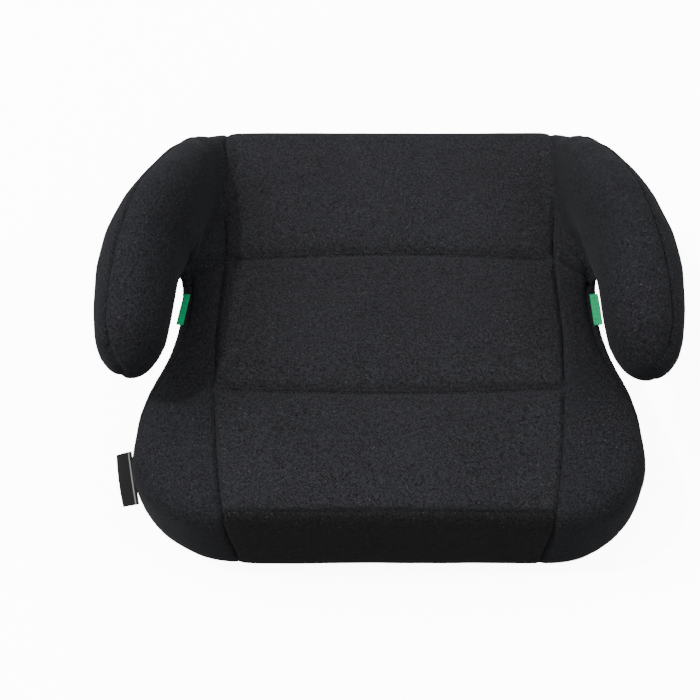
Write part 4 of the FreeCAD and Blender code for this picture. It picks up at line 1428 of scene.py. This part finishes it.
@dataclass
class Studio:
    """Floor, light and camera."""

    elevation: float = 62.0
    distance: float = 1500.0
    aim: tuple[float, float, float] = (0.0, 0.0, 80.0)
    focal: float = 1932.0 / 700.0 * 36.0
    shift_x: float = -39.2 / 700.0
    shift_y: float = -18.5 / 700.0

    @staticmethod
    def floor_paint() -> bpy.types.Material:
        """Matt white paint, which throws less light back up than it shows."""
        made = bpy.data.materials.new("studio_floor")
        made.use_nodes = True
        tree = made.node_tree
        nodes, links = tree.nodes, tree.links
        nodes.clear()

        seen = nodes.new("ShaderNodeLightPath")
        seen.label = "Seen directly"

        shade = nodes.new("ShaderNodeBsdfDiffuse")
        shade.label = "For bounced light"

        paint = nodes.new("ShaderNodeBsdfDiffuse")
        paint.label = "White paint"

        glow = nodes.new("ShaderNodeEmission")
        glow.label = "Light from under the paint"

        lit = nodes.new("ShaderNodeAddShader")
        lit.label = "Lit paint"

        mixed = nodes.new("ShaderNodeMixShader")
        mixed.label = "Paint or bounce"

        out = nodes.new("ShaderNodeOutputMaterial")
        out.label = "Surface"

        lay_out((None, [seen, shade, paint, glow, lit, mixed, out]))

        shade.inputs["Color"].default_value = (0.22, 0.22, 0.22, 1)
        paint.inputs["Color"].default_value = (0.93, 0.93, 0.93, 1)
        glow.inputs["Strength"].default_value = 9.0

        links.new(seen.outputs["Is Camera Ray"], mixed.inputs["Fac"])
        links.new(shade.outputs["BSDF"], mixed.inputs[1])
        links.new(paint.outputs["BSDF"], lit.inputs[0])
        links.new(glow.outputs["Emission"], lit.inputs[1])
        links.new(lit.outputs["Shader"], mixed.inputs[2])
        links.new(mixed.outputs["Shader"], out.inputs["Surface"])
        return made

    def floor(self) -> None:
        """A wide pale floor under the seat."""
        bm = bmesh.new()
        bmesh.ops.create_grid(bm, x_segments=1, y_segments=1, size=6.0)
        floor = MeshTools.new_object("studio_floor", bm)
        floor.data.materials.append(self.floor_paint())

    def lights(self) -> None:
        """A hard key from the upper left, a soft one from the right, a panel, and a bright surround."""
        for name, energy, spread, way in (
            ("key", 4.1, 3.0, (-0.42, -0.02, 0.90)),
            ("softer_key", 2.3, 38.0, (0.50, 0.05, 0.85)),
        ):
            sun = bpy.data.lights.new(name, "SUN")
            sun.energy = energy
            sun.angle = math.radians(spread)
            key = bpy.data.objects.new(name, sun)
            key.rotation_euler = Vector(way).to_track_quat("Z", "Y").to_euler()
            bpy.context.scene.collection.objects.link(key)
        panel = bpy.data.lights.new("soft_panel", "AREA")
        panel.shape = "DISK"
        panel.size = 1.4
        panel.energy = 62.0
        soft = bpy.data.objects.new("soft_panel", panel)
        soft.location = (-1.5, 0.3, 1.5)
        soft.rotation_euler = Vector((-1.5, 0.3, 1.45)).to_track_quat("Z", "Y").to_euler()
        bpy.context.scene.collection.objects.link(soft)

        world = bpy.data.worlds.new("studio_surround")
        world.use_nodes = True
        tree = world.node_tree
        nodes, links = tree.nodes, tree.links
        nodes.clear()

        way = nodes.new("ShaderNodeTexCoord")
        way.label = "Direction"

        split = nodes.new("ShaderNodeSeparateXYZ")
        split.label = "How high"

        rise = nodes.new("ShaderNodeMapRange")
        rise.label = "Dim near the horizon"

        surround = nodes.new("ShaderNodeBackground")
        surround.label = "White surround"

        out = nodes.new("ShaderNodeOutputWorld")
        out.label = "World"

        lay_out((None, [way, split, rise, surround, out]))

        rise.inputs["From Min"].default_value = 0.0
        rise.inputs["From Max"].default_value = 0.75
        rise.inputs["To Min"].default_value = 0.35
        rise.inputs["To Max"].default_value = 2.3
        surround.inputs["Color"].default_value = (1.0, 1.0, 1.0, 1)

        links.new(way.outputs["Generated"], split.inputs["Vector"])
        links.new(split.outputs["Z"], rise.inputs["Value"])
        links.new(rise.outputs["Result"], surround.inputs["Strength"])
        links.new(surround.outputs["Background"], out.inputs["Surface"])
        bpy.context.scene.world = world

    def camera(self) -> None:
        """A camera high in front of the seat, looking down on it."""
        data = bpy.data.cameras.new("studio_camera")
        data.sensor_width = 36.0
        data.lens = self.focal
        data.shift_x = self.shift_x
        data.shift_y = self.shift_y
        data.clip_end = 50.0
        cam = bpy.data.objects.new("studio_camera", data)
        bpy.context.scene.collection.objects.link(cam)
        e = math.radians(self.elevation)
        back = Vector((0, -math.cos(e), math.sin(e)))
        cam.location = Vector(self.aim) * MM + back * self.distance * MM
        cam.rotation_euler = (-back).to_track_quat("-Z", "Y").to_euler()
        bpy.context.scene.camera = cam


def dress_cad(frame: dict, finishes: dict[Slot, bpy.types.Material]) -> None:
    """Give every CAD node the finish of its slot, so that those kept as they are have one.

    Args:
        finishes: the material of each slot.
    """
    slots = {row["node"]: Slot(row["material_slot"]) for row in frame["record"]["subparts"]}
    for name, node in frame["nodes"].items():
        node.data.materials.clear()
        node.data.materials.append(finishes[slots[name]])


def all_finishes() -> dict[Slot, bpy.types.Material]:
    """The material of each slot, and of the sewing thread."""
    black = (0.004, 0.004, 0.0042)
    return {
        Slot.SEAT: ClothFinish("seat_cloth").material(),
        Slot.SIDE: ClothFinish("side_cloth", dark=(0.001, 0.001, 0.0012), light=(0.0092, 0.0094, 0.0108),
                               pitch=1.0, relief=0.35).material(),
        # The wall cloth is the seat cloth darkened: painted shade for the front and back walls.
        Slot.WALL: ClothFinish("wall_cloth", dark=(0.0007, 0.0007, 0.0007),
                               light=(0.006, 0.006, 0.0059)).material(),
        Slot.HEM: ClothFinish("hem_cloth", dark=black, light=(0.01, 0.01, 0.01),
                              fleck=(0.02, 0.02, 0.02)).material(),
        Slot.THREAD: ClothFinish("sewing_thread", dark=(0.0008, 0.0008, 0.0009), light=(0.005, 0.005, 0.005),
                                 fleck=(0.006, 0.006, 0.006), pitch=0.4).material(),
        Slot.FOAM: ClothFinish("grey_foam", dark=(0.1, 0.1, 0.1), light=(0.3, 0.3, 0.3),
                               fleck=(0.35, 0.35, 0.35)).material(),
        Slot.ELASTIC: WovenFinish("elastic_web", (0.006, 0.006, 0.006), (0.02, 0.02, 0.02)).material(),
        Slot.TAG: WovenFinish("tag_satin", (0.0012, 0.0012, 0.0013), (0.004, 0.004, 0.0043), rib=0.5,
                              line=(0.09, 0.09, 0.09), relief=0.2).material(),
        Slot.RIBBON: WovenFinish("green_ribbon", (0.0, 0.05, 0.018), (0.004, 0.2, 0.075), rib=1.1).material(),
        Slot.SHELL: MouldedFinish("shell_plastic", (0.012, 0.012, 0.013)).material(),
        Slot.HOOK: MouldedFinish("hook_plastic", (0.01, 0.01, 0.011), roughness=0.4).material(),
        Slot.LABEL: MouldedFinish("label_film", (0.85, 0.25, 0.03), roughness=0.3, relief=0.02).material(),
    }


def small_pieces(finishes: dict[Slot, bpy.types.Material]) -> None:
    """Make the belt marks, the side tag, the hem's elastic and the straps."""
    marks = [
        FoldedTab("left_belt_mark", "left_mark", Slot.RIBBON, (-154.9, 5.5, 104.8), 9.0, 27.0, 5.5, 1.2,
                  Side.LEFT, droop=10.0, twist=7.0, bow=0.3),
        FoldedTab("right_belt_mark", "right_mark", Slot.RIBBON, (154.9, 5.5, 104.8), 4.9, 27.0, 6.6, 1.2,
                  Side.RIGHT, droop=-4.0, twist=4.0, bow=0.3),
        FoldedTab("side_tag", "tag", Slot.TAG, (-190.4, -119.0, 70.0), -11.0, 44.0, 12.5, 0.9,
                  Side.LEFT, droop=6.0, twist=5.0, bow=0.8),
    ]
    for tab in marks:
        tab.build(finishes[tab.slot])
    HemElastic().build(finishes[Slot.ELASTIC])
    places = {
        "front_left": (-42, -109, -90), "front_right": (42, -109, -90), "back_left": (-42, 109, 90),
        "back_right": (42, 109, 90), "side_left": (-102, -6, 180), "side_right": (102, -6, 0),
    }
    for word, (x, y, heading) in places.items():
        reach = 23.0 if "side" in word else 24.6
        HookStrap(f"elastic_strap_{word}", x, y, heading, reach=reach).build(finishes[Slot.ELASTIC])


def main() -> None:
    """Load the frame, dress the seat and set up the studio."""
    logging.basicConfig(level=logging.INFO, format="%(relativeCreated)d ms: %(message)s")
    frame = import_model()
    finishes = all_finishes()
    dress_cad(frame, finishes)
    SewnCover().build(finishes)
    small_pieces(finishes)
    studio = Studio()
    studio.floor()
    studio.lights()
    studio.camera()


if __name__ == "__main__":
    main()
